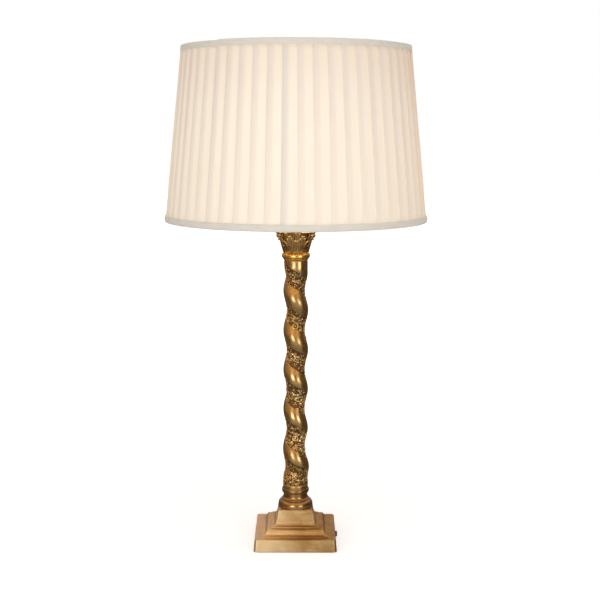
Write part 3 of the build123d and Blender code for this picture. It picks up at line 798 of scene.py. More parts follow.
def finish_piece(
    name: str,
    mesh: Mesh,
    material: Material,
    body: Body,
    nodes: Sequence[str] = (),
    crease: float = 38.0,
) -> bpy.types.Object:
    """Makes an object of a mesh and puts it on its body.

    Args:
        name: The piece's name.
        mesh: Its mesh, which is freed.
        material: Its finish.
        body: The body that it rides on.
        nodes: Nodes of the frame that it stands for.
        crease: Angle in degrees past which an edge stays sharp.

    Returns:
        The piece.
    """
    limit = radians(crease)
    for face in mesh.faces:
        face.smooth = True
    for edge in mesh.edges:
        if len(edge.link_faces) == 2 and edge.calc_face_angle(0.0) > limit:
            edge.smooth = False
    made = add_object(name, mesh_data(name, mesh, material))
    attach(made, body.value)
    if nodes:
        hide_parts(*nodes)
    LOG.info("%s: %d faces, stands for %s", name, len(made.data.polygons), ", ".join(nodes) or "no node")
    return made


def even_normals(piece: bpy.types.Object) -> None:
    """Keeps broad faces flat beside their rounded edges."""
    modifier = piece.modifiers.new("even_normals", "WEIGHTED_NORMAL")
    modifier.keep_sharp = True


@dataclass
class SteppedBase:
    """Square cast base: plinth, two moulded steps and a tapered block, in millimetres.

    The values that end in outside are half-widths past which an edge belongs to the outside of the casting.
    """

    plinth_foot: float = 74.3
    plinth_top: float = 72.3
    step_foot: float = 60.0
    step_waist: float = 53.0
    step_top: float = 47.0
    cove_foot: float = 43.0
    cove_top: float = 34.6
    block_foot: float = 33.3
    block_top: float = 30.8
    foot_z: float = 1.2
    ledge_z: float = 22.6
    fillet_z: float = 24.4
    waist_z: float = 27.6
    step_z: float = 34.1
    cove_z: float = 44.6
    top_z: float = 63.9
    fillet: float = 3.0
    lip: float = 0.7
    wall: float = 5.0
    corner_radius: float = 5.5
    plinth_outside: float = 70.0
    ledge_outside: float = 66.0
    step_outside: float = 44.0
    block_outside: float = 30.0
    top_outside: float = 28.0
    bore: float = 8.0
    felt_half: float = 72.3
    felt_corner: float = 3.0

    def profile(self) -> list[Point]:
        """Half-widths and heights of the casting, outside and then inside.

        Returns:
            The closed outline.
        """
        fillet = (self.step_foot, self.fillet_z)
        waist = (self.step_waist, self.waist_z)
        cove = (self.cove_foot, self.step_z + self.fillet)
        lip = (self.cove_top, self.cove_z - self.lip)
        outside = [(self.plinth_foot, self.foot_z), (self.plinth_top, self.ledge_z)]
        outside += [(self.step_foot, self.ledge_z), fillet] + outline_arc(fillet, waist, Curve.HOLLOW, 6)
        outside += outline_arc(waist, (self.step_top, self.step_z), Curve.ROUND, 8)
        outside += [(self.cove_foot, self.step_z), cove] + outline_arc(cove, lip, Curve.HOLLOW, 8)
        outside += [(self.cove_top, self.cove_z), (self.block_foot, self.cove_z)]
        outside += [(self.block_top, self.top_z)]
        wall = self.wall
        inside = [(self.bore, self.top_z), (self.bore, self.top_z - wall)]
        steps = ((self.block_top, self.top_z, self.step_z), (self.step_top, self.step_z, self.ledge_z))
        for half, high, low in steps:
            inside += [(half - wall, high - wall), (half - wall, low - wall)]
        inside += [(self.plinth_top - wall, self.ledge_z - wall), (self.plinth_top - wall, self.foot_z)]
        return outside + inside

    def casting(self) -> Mesh:
        """Turns the outline in four steps and rounds its corners.

        Returns:
            The mesh of the casting.
        """
        diagonal = sqrt(2.0)
        mesh = turned([(half * diagonal, z) for half, z in self.profile()], 4, pi / 4)

        def upright(edge: Edge) -> bool:
            """True for an edge that rises at a corner."""
            low, high = (vert.co for vert in edge.verts)
            return abs(low.z - high.z) > 1e-6 and abs(abs(low.x) - abs(low.y)) < 1e-5

        def span(edge: Edge) -> tuple[float, float, float]:
            """Lowest and highest point and half-width of an edge, in millimetres."""
            zs = [vert.co.z / MM for vert in edge.verts]
            return min(zs), max(zs), min(max(abs(vert.co.x), abs(vert.co.y)) / MM for vert in edge.verts)

        def plinth_corner(edge: Edge) -> bool:
            """True for the plinth's four corners."""
            _, high, half = span(edge)
            return upright(edge) and high < self.ledge_z + 0.1 and half > self.plinth_outside

        def block_corner(edge: Edge) -> bool:
            """True for the block's four corners."""
            low, _, half = span(edge)
            return upright(edge) and low > self.cove_z - 0.1 and half > self.block_outside

        def rim(z: float, least: float) -> Callable[[Edge], bool]:
            """Test for the level edges at a height, outside a half-width."""
            return lambda edge: all(abs(end - z) < 0.05 for end in span(edge)[:2]) and span(edge)[2] > least

        soften(mesh, plinth_corner, self.corner_radius, 6)
        soften(mesh, rim(self.ledge_z, self.ledge_outside), 0.9, 3)
        soften(mesh, rim(self.foot_z, self.plinth_outside), 0.8, 3)
        soften(mesh, block_corner, 1.3, 3)
        soften(mesh, rim(self.top_z, self.top_outside), 0.8, 3)
        soften(mesh, rim(self.step_z, self.step_outside), 0.35, 2)
        self.wear(mesh)
        return mesh

    def wear(self, mesh: Mesh) -> None:
        """Marks the corners of the block, which are painted pale: partly brass that hands have rubbed, partly
        a painted highlight along their rounded edges.

        Args:
            mesh: The casting.
        """
        worn = mesh.verts.layers.float.new("worn")
        for vert in mesh.verts:
            x, y, z = (abs(part) / MM for part in vert.co)
            if z > self.cove_z - 0.1 and abs(x - y) < 0.9 and x > self.block_top - 1.8:
                vert[worn] = 1.0

    def felt(self) -> Mesh:
        """Felt square with rounded corners and softened edges.

        Returns:
            The mesh of the felt.
        """
        mesh = bmesh.new()
        bmesh.ops.create_grid(mesh, x_segments=14, y_segments=14, size=self.felt_half * MM)
        straight = (self.felt_half - self.felt_corner) * MM
        for vert in mesh.verts:
            over = [max(0.0, abs(c) - straight) for c in vert.co.xy]
            if min(over) > 0.0:
                pull = self.felt_corner * MM / hypot(*over)
                for axis in range(2):
                    vert.co[axis] = copysign(straight + over[axis] * pull, vert.co[axis])
            vert.co.z = 0.06 * MM * noise.noise(vert.co * 160.0) + 0.10 * MM
        face_out(mesh)
        bmesh.ops.solidify(mesh, geom=mesh.faces[:], thickness=(self.foot_z - 0.3) * MM)
        face_out(mesh)
        return mesh

    def build(self) -> None:
        """Makes the casting and the felt."""
        # The base's brass carries a painted highlight that makes it paler towards its left side.
        brass = AgedBrass(
            "brushed_brass", bright=(0.46, 0.325, 0.165), dull=(0.315, 0.195, 0.070), smooth=0.36, rough=0.5,
            streak=0.85, coarse=430.0, painted_left_highlight=0.6,
        ).material()
        casting = finish_piece(
            "base_casting", self.casting(), brass, Body.LAMP, ["stepped_base"], 30.0
        )
        even_normals(casting)
        felt = finish_piece("base_felt", self.felt(), Felt().material(), Body.LAMP, ["felt_pad"])


@dataclass
class TurnedParts:
    """Turned foot under the shaft and ring under the capital."""

    foot_z: float = 63.9
    astragal_z: float = 513.9
    bore: float = 6.0
    steps: int = 128

    def foot(self) -> Mesh:
        """Foot with a torus, a neck and a bead.

        Returns:
            The mesh of the foot.
        """
        low = self.foot_z
        profile = [(self.bore, low), (30.6, low), (31.0, low + 0.4), (31.0, low + 4.0), (30.6, low + 4.4)]
        profile += outline_arc((30.6, low + 4.4), (25.6, low + 13.0), Curve.ROUND, 12)
        profile += [(25.0, low + 13.4), (25.0, low + 15.0), (24.7, low + 15.4)]
        profile += outline_arc((24.7, low + 15.4), (21.6, low + 20.4), Curve.HOLLOW, 8)
        profile += [(21.6, low + 26.0), (22.3, low + 26.4), (22.6, low + 26.7)]
        profile += outline_bead((22.6, low + 26.7), (22.8, low + 34.0), 24.5)
        profile += [(22.5, low + 34.4), (22.5, low + 35.4), (self.bore, low + 35.4)]
        return turned(profile, self.steps)

    def astragal(self) -> Mesh:
        """Ring with a fillet and a bold bead.

        Returns:
            The mesh of the ring.
        """
        base = self.astragal_z
        profile = [(self.bore, base), (20.7, base), (20.9, base + 1.6), (21.5, base + 2.9)]
        profile += [(22.5, base + 3.6), (22.9, base + 4.2), (22.9, base + 5.0), (22.5, base + 5.5)]
        profile += [(22.2, base + 5.7)]
        profile += outline_bead((22.2, base + 5.7), (21.9, base + 13.6), 24.9, 14)
        profile += [(21.6, base + 14.0), (21.2, base + 14.5), (self.bore, base + 14.5)]
        return turned(profile, self.steps)

    def build(self) -> None:
        """Makes both parts."""
        dark = AgedBrass(
            "turned_brass", bright=(0.32, 0.19, 0.064), dull=(0.22, 0.118, 0.034), smooth=0.2, rough=0.34,
            streak=0.5, lacquer=0.7,
        ).material()
        # The ring's brass is painted brighter and more orange than the foot's, as the lamp's warm light
        # falling on it from above.
        lamplit_gold = AgedBrass(
            "lamplit_ring_brass", bright=(0.80, 0.475, 0.125), dull=(0.68, 0.365, 0.075), smooth=0.16, rough=0.3
        ).material()
        finish_piece("turned_foot", self.foot(), dark, Body.LAMP, ["column_foot"], 34.0)
        finish_piece(
            "neck_ring", self.astragal(), lamplit_gold, Body.LAMP, ["astragal_ring"], 34.0
        )


@dataclass
class Motif:
    """Carved motif, flat on the ground with its top towards +Z, in millimetres."""

    kind: Relief
    size: float

    def __post_init__(self) -> None:
        """Starts the motif's mesh."""
        self.mesh, _, self.relief = carved_mesh()

    def leaf(self) -> None:
        """Leaf with five lobes, hollow in its middle."""
        mesh, relief = self.mesh, self.relief
        half = 0.5 * self.size
        for vert in bmesh.ops.create_circle(mesh, cap_ends=True, segments=20, radius=1.0)["verts"]:
            turn = atan2(vert.co.y, vert.co.x)
            reach = half * (0.74 + 0.26 * cos(5 * turn)) * (0.88 + 0.22 * cos(turn))
            vert.co = Vector((reach * cos(turn), reach * sin(turn), -0.35))
        crown = bmesh.ops.extrude_face_region(mesh, geom=mesh.faces[:])["geom"]
        for vert in of_kind(crown, Vert):
            reach = vert.co.xy.length / half
            vert.co.x *= 0.72
            vert.co.y *= 0.72
            vert.co.z = 0.95 + 0.95 * reach
            vert[relief] = 0.55 + 0.6 * max(0.0, reach - 0.45)
        for vert in bmesh.ops.poke(mesh, faces=of_kind(crown, bmesh.types.BMFace))["verts"]:
            vert.co.z, vert[relief] = 0.75, 0.25

    def curl(self) -> None:
        """Tendril that winds in on itself."""
        seat = Matrix.Translation((0.36 * self.size, 0, 0.75))
        bent_rod(self.mesh, seat, 0.62, 6, radians(285.0), 11, dvec=(-0.012 * self.size, 0.0, 0.03))
        bmesh.ops.holes_fill(self.mesh, edges=self.mesh.edges, sides=0)
        for vert in self.mesh.verts:
            vert[self.relief] = 0.95 if vert.co.z > 0.7 else 0.4

    def berry(self) -> None:
        """Cluster of three berries."""
        off = 0.24 * self.size
        for third in range(3):
            turn = TURN * third / 3
            seat = Matrix.Translation((off * cos(turn), off * sin(turn), 0.6))
            bmesh.ops.create_icosphere(self.mesh, subdivisions=1, radius=0.21 * self.size, matrix=seat)
        for vert in self.mesh.verts:
            vert[self.relief] = 0.9 if vert.co.z > 0.6 else 0.2

    def rosette(self) -> None:
        """Two rings round a knob, over a dark dish."""
        mesh, relief = self.mesh, self.relief
        for share, thick, lift, steps in ((0.39, 1.15, 2.1, 22), (0.12, 0.75, 1.6, 10)):
            seat = Matrix.Translation((share * self.size, 0, lift))
            bent_rod(mesh, seat, thick, 8, TURN, steps, use_merge=True)
        knob = Matrix.Translation((0, 0, 1.7))
        bmesh.ops.create_icosphere(mesh, subdivisions=2, radius=0.14 * self.size, matrix=knob)
        dish = bmesh.ops.create_circle(mesh, cap_ends=True, segments=20, radius=0.42 * self.size)["verts"]
        for vert in mesh.verts:
            vert[relief] = 1.1 if vert.co.z > 1.2 else 0.3
        for vert in dish:
            vert.co.z, vert[relief] = 0.35, -0.2

    def build(self) -> Mesh:
        """Makes the motif.

        Returns:
            Its mesh, with "relief" set.
        """
        makers = {
            Relief.LEAF: self.leaf,
            Relief.CURL: self.curl,
            Relief.BERRY: self.berry,
            Relief.ROSETTE: self.rosette,
        }
        makers[self.kind]()
        bmesh.ops.remove_doubles(self.mesh, verts=self.mesh.verts, dist=1e-4)
        face_out(self.mesh)
        return self.mesh


@dataclass
class TwistedShaft:
    """Left-hand spiral shaft: a smooth band and a sunk band carved with a vine."""

    foot_z: float = 99.3
    height: float = 414.6
    radius: float = 19.3
    foot_radius: float = 22.5
    top_radius: float = 21.0
    offset: float = 3.0
    pitch: float = 71.9
    crest_rise: float = 361.9
    band_start: float = 112.0
    band_end: float = 266.0
    sunk_depth: float = 1.5
    sunk_top: float = 510.0
    collar_top: float = 131.0
    levels: int = 420
    stem_ends: Point = (105.7, 506.0)
    stem_points: int = 190
    vine_ends: Point = (108.2, 508.0)
    vine_rows: int = 92
    vine_columns: int = 18
    rosette_turn: float = 268.0
    rosette_levels: tuple[float, ...] = (471.2, 398.6, 329.0, 257.0, 193.6)
    rosette_size: float = 11.6
    cluster_size: float = 8.6
    clearance: float = 8.2
    seed: int = 11

    def crest(self, z: float) -> float:
        """Angle of the spiral's crest at a height, in degrees."""
        return 180.0 + 360.0 * (self.crest_rise - (z - self.foot_z)) / self.pitch

    def band(self, z: float) -> tuple[float, float]:
        """Where the carved band starts and ends at a height; it widens towards the foot.

        Args:
            z: Height in millimetres.

        Returns:
            Two angles from the crest, in degrees.
        """
        low = 1 - smooth_step((z - 285.0) / 110.0)
        start = self.band_start - 12.0 * low - 26.0 * (1 - smooth_step((z - 168.0) / 55.0))
        return start, self.band_end + 46.0 * low

    def skin(self, angle: float, z: float) -> float:
        """Radius of the plain shaft.

        Args:
            angle: Angle about the axis, in degrees.
            z: Height in millimetres.

        Returns:
            The radius in millimetres.
        """
        rise = min(self.height, max(0.0, z - self.foot_z))
        fall = self.height - rise
        mean = self.radius
        mean += (self.foot_radius - self.radius) * (1 - smooth_step((rise - 10.0) / 80.0))
        mean += (self.top_radius - self.radius) * (1 - smooth_step((fall - 10.0) / 20.0))
        off = self.offset * smooth_step((rise - 10.0) / 26.0) * smooth_step((fall - 10.0) / 26.0)
        lean = radians(angle - self.crest(z))
        return off * cos(lean) + sqrt(mean * mean - (off * sin(lean)) ** 2)

    def sunk(self, angle: float, z: float) -> float:
        """How far a place is inside the carved band, from 0 to 1.

        Args:
            angle: Angle about the axis, in degrees.
            z: Height in millimetres.

        Returns:
            The share of the band's full depth.
        """
        lean = (angle - self.crest(z)) % 360.0
        first, last = self.band(z)
        band = smooth_step((lean - first + 1.0) / 5.0) * (1 - smooth_step((lean - last + 1.6) / 2.2))
        collar = 1 - smooth_step((z - self.collar_top) / 3.0)
        ends = smooth_step((z - self.foot_z - 5.5) / 1.5) * (1 - smooth_step((z - self.sunk_top) / 2.0))
        return max(band, collar) * ends

    def place(self, angle: float, z: float, lift: float) -> Vector:
        """Place on the carved band's floor.

        Args:
            angle: Angle about the axis, in degrees.
            z: Height in millimetres.
            lift: Height above the floor, in millimetres.

        Returns:
            The place in metres.
        """
        radius = self.skin(angle, z) - self.sunk_depth * self.sunk(angle, z) + lift
        return polar(radius, radians(angle), z)

    def shifted(self, lean: float, z: float) -> float:
        """Moves a column of the mesh along with the borders of the carved band.

        Args:
            lean: Angle from the crest, in degrees, from 0 to 360.
            z: Height in millimetres.

        Returns:
            The moved angle.
        """
        first, last = self.band(z)
        if lean <= self.band_start:
            return lean * first / self.band_start
        if lean <= self.band_end:
            return first + (lean - self.band_start) * (last - first) / (self.band_end - self.band_start)
        return last + (lean - self.band_end) * (360.0 - last) / (360.0 - self.band_end)

    def core(self) -> Mesh:
        """Sweeps the section up the spiral and sinks the carved band into it.

        Returns:
            The mesh of the shaft.
        """
        mesh, across, relief = carved_mesh()
        borders = [self.band_start + step for step in (-1.4, 0.2, 1.6, 3.2, 5.0)]
        borders += [self.band_end + step for step in (-2.4, -1.4, -0.5, 0.4, 1.4)]
        leans = sorted([3.75 * step for step in range(96)] + borders)
        ring = bmesh.ops.create_circle(mesh, segments=len(leans), radius=self.radius * MM)["verts"]
        start = self.crest(self.foot_z)
        for vert, lean in zip(ring, leans):
            turn = radians(start + lean)
            vert.co = Vector((cos(turn), sin(turn), 0.0)) * self.radius * MM
            vert.co.z = self.foot_z * MM
        rise = (0, 0, self.height / self.levels * MM)
        spin(mesh, ring + outer_edges(ring), -TURN * self.height / self.pitch, self.levels, dvec=rise)
        for vert in mesh.verts:
            angle, z = degrees(atan2(vert.co.y, vert.co.x)), vert.co.z / MM
            angle = self.crest(z) + self.shifted((angle - self.crest(z)) % 360.0, z)
            depth = self.sunk(angle, z)
            vert.co = self.place(angle, z, 0.35 * depth * noise.noise(vert.co * 420.0))
            vert[relief] = 1.0 - 0.86 * depth
            vert[across] = (z + ((angle - self.crest(z)) % 360.0) * 0.2) * MM * 0.2
        bmesh.ops.holes_fill(mesh, edges=mesh.edges, sides=0)
        face_out(mesh)
        return mesh

    def lay(self, vine: Mesh, kind: Relief, size: float, angle: float, z: float, way: float) -> None:
        """Bends a motif on to the shaft.

        Args:
            vine: The mesh that it goes into.
            kind: Which motif.
            size: Its length across.
            angle: Angle about the axis, in degrees.
            z: Height in millimetres.
            way: Way that it points on the shaft, in radians.
        """
        mesh = Motif(kind, size).build()
        near = self.skin(angle, z)
        ground = self.sunk(angle, z)
        for vert in mesh.verts:
            x, y, lift = vert.co
            side = x * cos(way) - y * sin(way)
            up = x * sin(way) + y * cos(way)
            seat = angle + degrees(side / near)
            radius = self.skin(seat, z + up) - self.sunk_depth * ground + lift
            vert.co = polar(radius, radians(seat), z + up)
        join(vine, mesh)

    def rosettes(self) -> list[tuple[float, float]]:
        """Places of the rosettes along the carved band.

        Returns:
            Angles in degrees and heights in millimetres.
        """
        return [
            (self.rosette_turn + 120.0 * third, level - self.pitch / 3 * third)
            for level in self.rosette_levels
            for third in range(3)
        ]

    def stem(self) -> Mesh:
        """Wandering stem along the middle of the carved band.

        Returns:
            The mesh of the stem.
        """
        path = bpy.data.curves.new("stem_path", "CURVE")
        path.dimensions = "3D"
        path.bevel_depth = 0.95 * MM
        path.bevel_resolution = 1
        path.use_fill_caps = True
        spline = path.splines.new("NURBS")
        spline.points.add(self.stem_points - 1)
        low, high = self.stem_ends
        for index, point in enumerate(spline.points):
            z = low + (high - low) * index / (self.stem_points - 1)
            middle = sum(self.band(z)) / 2 + 30.0 * sin(TURN * index / 8.5)
            point.co = (*self.place(self.crest(z) + middle, z, 0.9), 1.0)
        spline.order_u = 3
        spline.use_endpoint_u = True
        holder = bpy.data.objects.new("stem_path", path)
        data = bpy.data.meshes.new_from_object(holder)
        mesh, _, relief = carved_mesh()
        mesh.from_mesh(data)
        for vert in mesh.verts:
            vert[relief] = 0.8
        bpy.data.objects.remove(holder)
        bpy.data.curves.remove(path)
        bpy.data.meshes.remove(data)
        return mesh

    def vine(self) -> Mesh:
        """Leaves, curls, berries and rosettes over the carved band.

        Returns:
            The mesh of the carving.
        """
        chance = random.Random(self.seed)
        mesh = self.stem()
        flowers = self.rosettes()
        for number, (angle, z) in enumerate(flowers):
            if number % 9 in (3, 4, 8):
                self.lay(mesh, Relief.ROSETTE, self.rosette_size, angle, z, 0.0)
            else:
                self.lay(mesh, Relief.BERRY, self.cluster_size, angle, z, 0.4 * number)
        low, high = self.vine_ends
        sizes = {Relief.LEAF: 9.8, Relief.CURL: 6.8, Relief.BERRY: 4.8}
        for row in range(self.vine_rows):
            level = low + (high - low) * row / (self.vine_rows - 1)
            for step in range(self.vine_columns):
                angle = 360.0 / self.vine_columns * (step + 0.5 * (row % 2)) + chance.uniform(-5.0, 5.0)
                z = level + chance.uniform(-1.6, 1.6)
                near = ((0, 1.8), (0, -1.4), (4, 0), (-4, 0))
                if min(self.sunk(angle + side, z + up) for side, up in near) < 0.7:
                    continue
                apart = [hypot(((angle - a + 180.0) % 360.0 - 180.0) * 0.3, z - h) for a, h in flowers]
                if min(apart) < self.clearance:
                    continue
                draw = chance.random()
                kind = Relief.LEAF if draw < 0.58 else Relief.CURL if draw < 0.88 else Relief.BERRY
                size = sizes[kind] * chance.uniform(0.82, 1.15)
                self.lay(mesh, kind, size, angle, z, -0.6 + chance.uniform(-1.5, 1.5))
        return mesh

    def build(self) -> None:
        """Makes the shaft and its carving."""
        plain = AgedBrass(
            "spiral_brass", bright=(0.44, 0.29, 0.114), dull=(0.33, 0.198, 0.065), stain=(0.15, 0.096, 0.040),
            smooth=0.20, rough=0.34, streak=0.2, lacquer=0.8, carved=True,
        ).material()
        worn = AgedBrass(
            "vine_brass", bright=(0.84, 0.63, 0.325), dull=(0.53, 0.36, 0.15), stain=(0.17, 0.108, 0.045),
            smooth=0.16, rough=0.32, streak=0.1, lacquer=0.6, carved=True,
        ).material()
        finish_piece(
            "spiral_shaft", self.core(), plain, Body.LAMP, ["twisted_shaft"], 80.0
        )
        finish_piece("vine_carving", self.vine(), worn, Body.LAMP, (), 80.0)


@dataclass(frozen=True)
class LeafShape:
    """Where a carved leaf stands and how large it is, in degrees and millimetres."""

    azimuth: float
    low: float
    high: float
    width: float
    reach: float


@dataclass
class LeafCapital:
    """Small leaf capital with hooded leaves at its corners and a hollow-sided slab."""

    foot_z: float = 528.4
    slab_z: float = 566.4
    bore: float = 6.0
    corner: float = 315.0
    eye_z: float = 543.6
    eye_size: Point = (5.4, 7.2)
    scroll_place: Point = (40.4, 561.8)
    lower_leaf: LeafShape = LeafShape(270.0, 529.4, 553.0, 22.5, 30.2)
    upper_leaf: LeafShape = LeafShape(270.0, 551.0, 567.5, 13.0, 35.2)
    small_leaves: tuple[LeafShape, ...] = (
        LeafShape(292.5, 541.0, 561.0, 14.0, 33.2),
        LeafShape(281.0, 548.0, 566.0, 11.0, 34.8),
        LeafShape(285.0, 543.0, 556.0, 8.0, 30.6),
        LeafShape(300.0, 544.0, 557.0, 8.0, 31.0),
    )

    def bell(self, z: float) -> float:
        """Radius of the bell behind the leaves."""
        share = min(1.0, max(0.0, (z - self.foot_z) / (self.slab_z - self.foot_z)))
        return 20.8 + 11.5 * share ** 1.1

    def core(self) -> Mesh:
        """Turns the bell.

        Returns:
            The mesh of the bell.
        """
        foot = self.foot_z
        profile = [(self.bore, foot), (21.4, foot), (21.9, foot + 0.8)]
        profile += [(self.bell(foot + step) + 0.2, foot + step) for step in (1.6, 8, 14, 20, 26, 32)]
        profile += [(self.bell(self.slab_z), self.slab_z), (self.bore, self.slab_z)]
        mesh = turned(profile, 72)
        relief = mesh.verts.layers.float["relief"]
        for vert in mesh.verts:
            vert[relief] = 0.6 if vert.co.z < (foot + 2.0) * MM else 0.30
        return mesh

    def leaf(self, shape: LeafShape, turned_by: float) -> Mesh:
        """One carved leaf that leans out and rolls over at its tip.

        Args:
            shape: Its place and size.
            turned_by: How far it is turned from that place, in degrees.

        Returns:
            The mesh of the leaf.
        """
        mesh, across, relief = carved_mesh()
        middle = radians(shape.azimuth + turned_by)
        low, width = shape.low, shape.width
        broad = width > 18.0
        bmesh.ops.create_grid(mesh, x_segments=28 if broad else 14, y_segments=20, size=0.5)
        roll = 1.9 if width > 9.0 else 1.5
        flutes, groove = (7, 0.55) if broad else (3, 0.85)
        foot = self.bell(low) + 1.2
        for vert in mesh.verts:
            side, up = 2.0 * vert.co.x, vert.co.y + 0.5
            rise = min(1.0, up / 0.74)
            curl = max(0.0, up - 0.74) / 0.26 * radians(200.0)
            z = low + (shape.high - roll - low) * rise + roll * sin(curl)
            out = foot + (shape.reach - 2 * roll - foot) * rise ** 1.15 + roll * (1 - cos(curl))
            out = max(out, self.bell(z) + 0.5)
            tip = max(0.0, up - 0.55) / 0.45
            half = width / 2 * (0.80 + 0.20 * sin(pi * min(1.0, up * 1.15)))
            half *= (1.0 - 0.30 * tip) * sqrt(max(0.03, 1.0 - tip ** 5))
            lobes = 0.07 * cos(up * 5.0 * TURN) * side * side
            flute = 0.5 + 0.5 * cos(side * flutes * pi)
            lift = 0.9 * (1 - side * side) + groove * flute * min(1.0, up * 4.0)
            turn = middle + side * half * (1 + lobes) / (out + 2.0)
            z += 0.8 * tip * (flute - 0.5)
            vert.co = polar(out + lift * (1.0 - 0.5 * tip), turn, z)
            vert[relief] = min(1.1, 0.08 + 0.62 * flute + 0.55 * tip * tip)
            vert[across] = up * 0.01
        face_out(mesh)
        if mesh.faces[:][len(mesh.faces) // 2].normal.dot(polar(1.0, middle, 0.0)) < 0:
            bmesh.ops.reverse_faces(mesh, faces=mesh.faces)
        mesh.normal_update()
        inward = {vert.co.to_tuple(7): vert.normal * 0.9 * MM for vert in mesh.verts}
        for vert in of_kind(bmesh.ops.extrude_face_region(mesh, geom=mesh.faces[:])["geom"], Vert):
            vert.co -= inward[vert.co.to_tuple(7)]
        face_out(mesh)
        return mesh

    def eye(self, azimuth: float) -> Mesh:
        """Dark oval between two leaves, painted as the shade under an arched rim, with the rim lighter
        towards its top.

        Args:
            azimuth: Angle about the axis, in degrees.

        Returns:
            The mesh of the dark dish and its rim.
        """
        mesh, _, relief = carved_mesh()
        seat = Matrix.Rotation(radians(-30.0), 4, "Z") @ Matrix.Translation((1.0, 0, 0))
        bent_rod(mesh, seat, 0.30, 8, radians(240.0), 24)
        bmesh.ops.holes_fill(mesh, edges=mesh.edges, sides=0)
        for vert in mesh.verts:
            vert[relief] = 0.75 + 0.35 * vert.co.y
        # Painted shade: a flat dish painted dark stands in for the shade under the rim.
        dish = bmesh.ops.create_circle(mesh, cap_ends=True, segments=26, radius=0.95)["verts"]
        for vert in dish:
            vert.co.z, vert[relief] = -0.30, -0.4
        face_out(mesh)
        wide, tall = self.eye_size
        for vert in mesh.verts:
            x, y, lift = vert.co
            up = self.eye_z + y * tall
            hood = 3.0 * smooth_step((y + 0.6) / 1.5) if lift > -0.29 else 0.0
            out = max(self.bell(up) + 0.4, self.bell(up) + 0.9 + hood + lift * 5.5)
            vert.co = polar(out, radians(azimuth) + x * (wide + 0.8 * min(0.0, y)) / out, up)
        return mesh

    def scroll(self, azimuth: float) -> Mesh:
        """Corner scroll under the slab.

        Args:
            azimuth: Angle of the corner, in degrees.

        Returns:
            The mesh of the scroll.
        """
        half = [(0.05, 4.1), (1.2, 4.0), (1.9, 3.0), (2.9, 3.0)]
        half += [(3.6, 3.9), (4.6, 3.6), (4.9, 2.6), (4.3, 1.2)]
        mesh = turned(half + [(r, -z) for r, z in reversed(half)], 22)
        relief = mesh.verts.layers.float["relief"]
        for vert in mesh.verts:
            radius = vert.co.xy.length / MM
            vert[relief] = 0.15 if 1.6 < radius < 3.1 else 0.95
        turn = radians(azimuth)
        radius, z = self.scroll_place
        seat = Matrix.Translation(polar(radius, turn, z))
        seat = seat @ Matrix.Rotation(turn, 4, "Z") @ Matrix.Rotation(pi / 2, 4, "X")
        bmesh.ops.transform(mesh, matrix=seat, verts=mesh.verts)
        return mesh

    def slab(self) -> Mesh:
        """Hollow-sided slab with cut corners and a stepped edge.

        Returns:
            The mesh of the slab.
        """
        mesh, _, relief = carved_mesh()
        for vert in bmesh.ops.create_circle(mesh, segments=64, radius=1.0)["verts"]:
            turn = atan2(vert.co.y, vert.co.x)
            lean = (turn + pi / 4) % (pi / 2) - pi / 4
            face = (33.0 + 5.0 * min(1.0, abs(lean) / 0.67) ** 2) / cos(lean)
            corner = 48.1 / cos(pi / 4 - abs(lean))
            vert.co = polar(min(face, corner) - 2.0, turn, self.slab_z)
        ring = mesh.edges[:]
        for rise, grow in ((3.4, 1.0), (0.6, 1.055), (1.2, 1.0), (3.6, 1.0), (1.2, 0.985)):
            grown = bmesh.ops.extrude_edge_only(mesh, edges=ring)["geom"]
            verts = of_kind(grown, Vert)
            ring = [edge for edge in of_kind(grown, Edge) if all(vert in verts for vert in edge.verts)]
            bmesh.ops.translate(mesh, vec=(0, 0, rise * MM), verts=verts)
            bmesh.ops.scale(mesh, vec=(grow, grow, 1.0), verts=verts)
        bmesh.ops.holes_fill(mesh, edges=mesh.edges, sides=0)
        for vert in mesh.verts:
            vert[relief] = 0.8
        face_out(mesh)
        return mesh

    def build(self) -> None:
        """Makes the capital in one piece."""
        mesh = self.core()
        for turned_by in (0.0, 90.0, 180.0, 270.0):
            join(mesh, self.leaf(self.lower_leaf, turned_by))
            join(mesh, self.eye(self.corner + turned_by))
            join(mesh, self.leaf(self.upper_leaf, turned_by))
            join(mesh, self.scroll(self.corner + turned_by))
        for eighth in range(8):
            for shape in self.small_leaves:
                join(mesh, self.leaf(shape, 45.0 * eighth))
        join(mesh, self.slab())
        brass = AgedBrass(
            "carved_brass", bright=(0.76, 0.51, 0.21), dull=(0.52, 0.32, 0.108), stain=(0.20, 0.118, 0.040),
            smooth=0.2, rough=0.36, streak=0.1, lacquer=0.5, carved=True,
        ).material()
        finish_piece(
            "leaf_capital_carving", mesh, brass, Body.LAMP, ["leaf_capital"], 60.0
        )


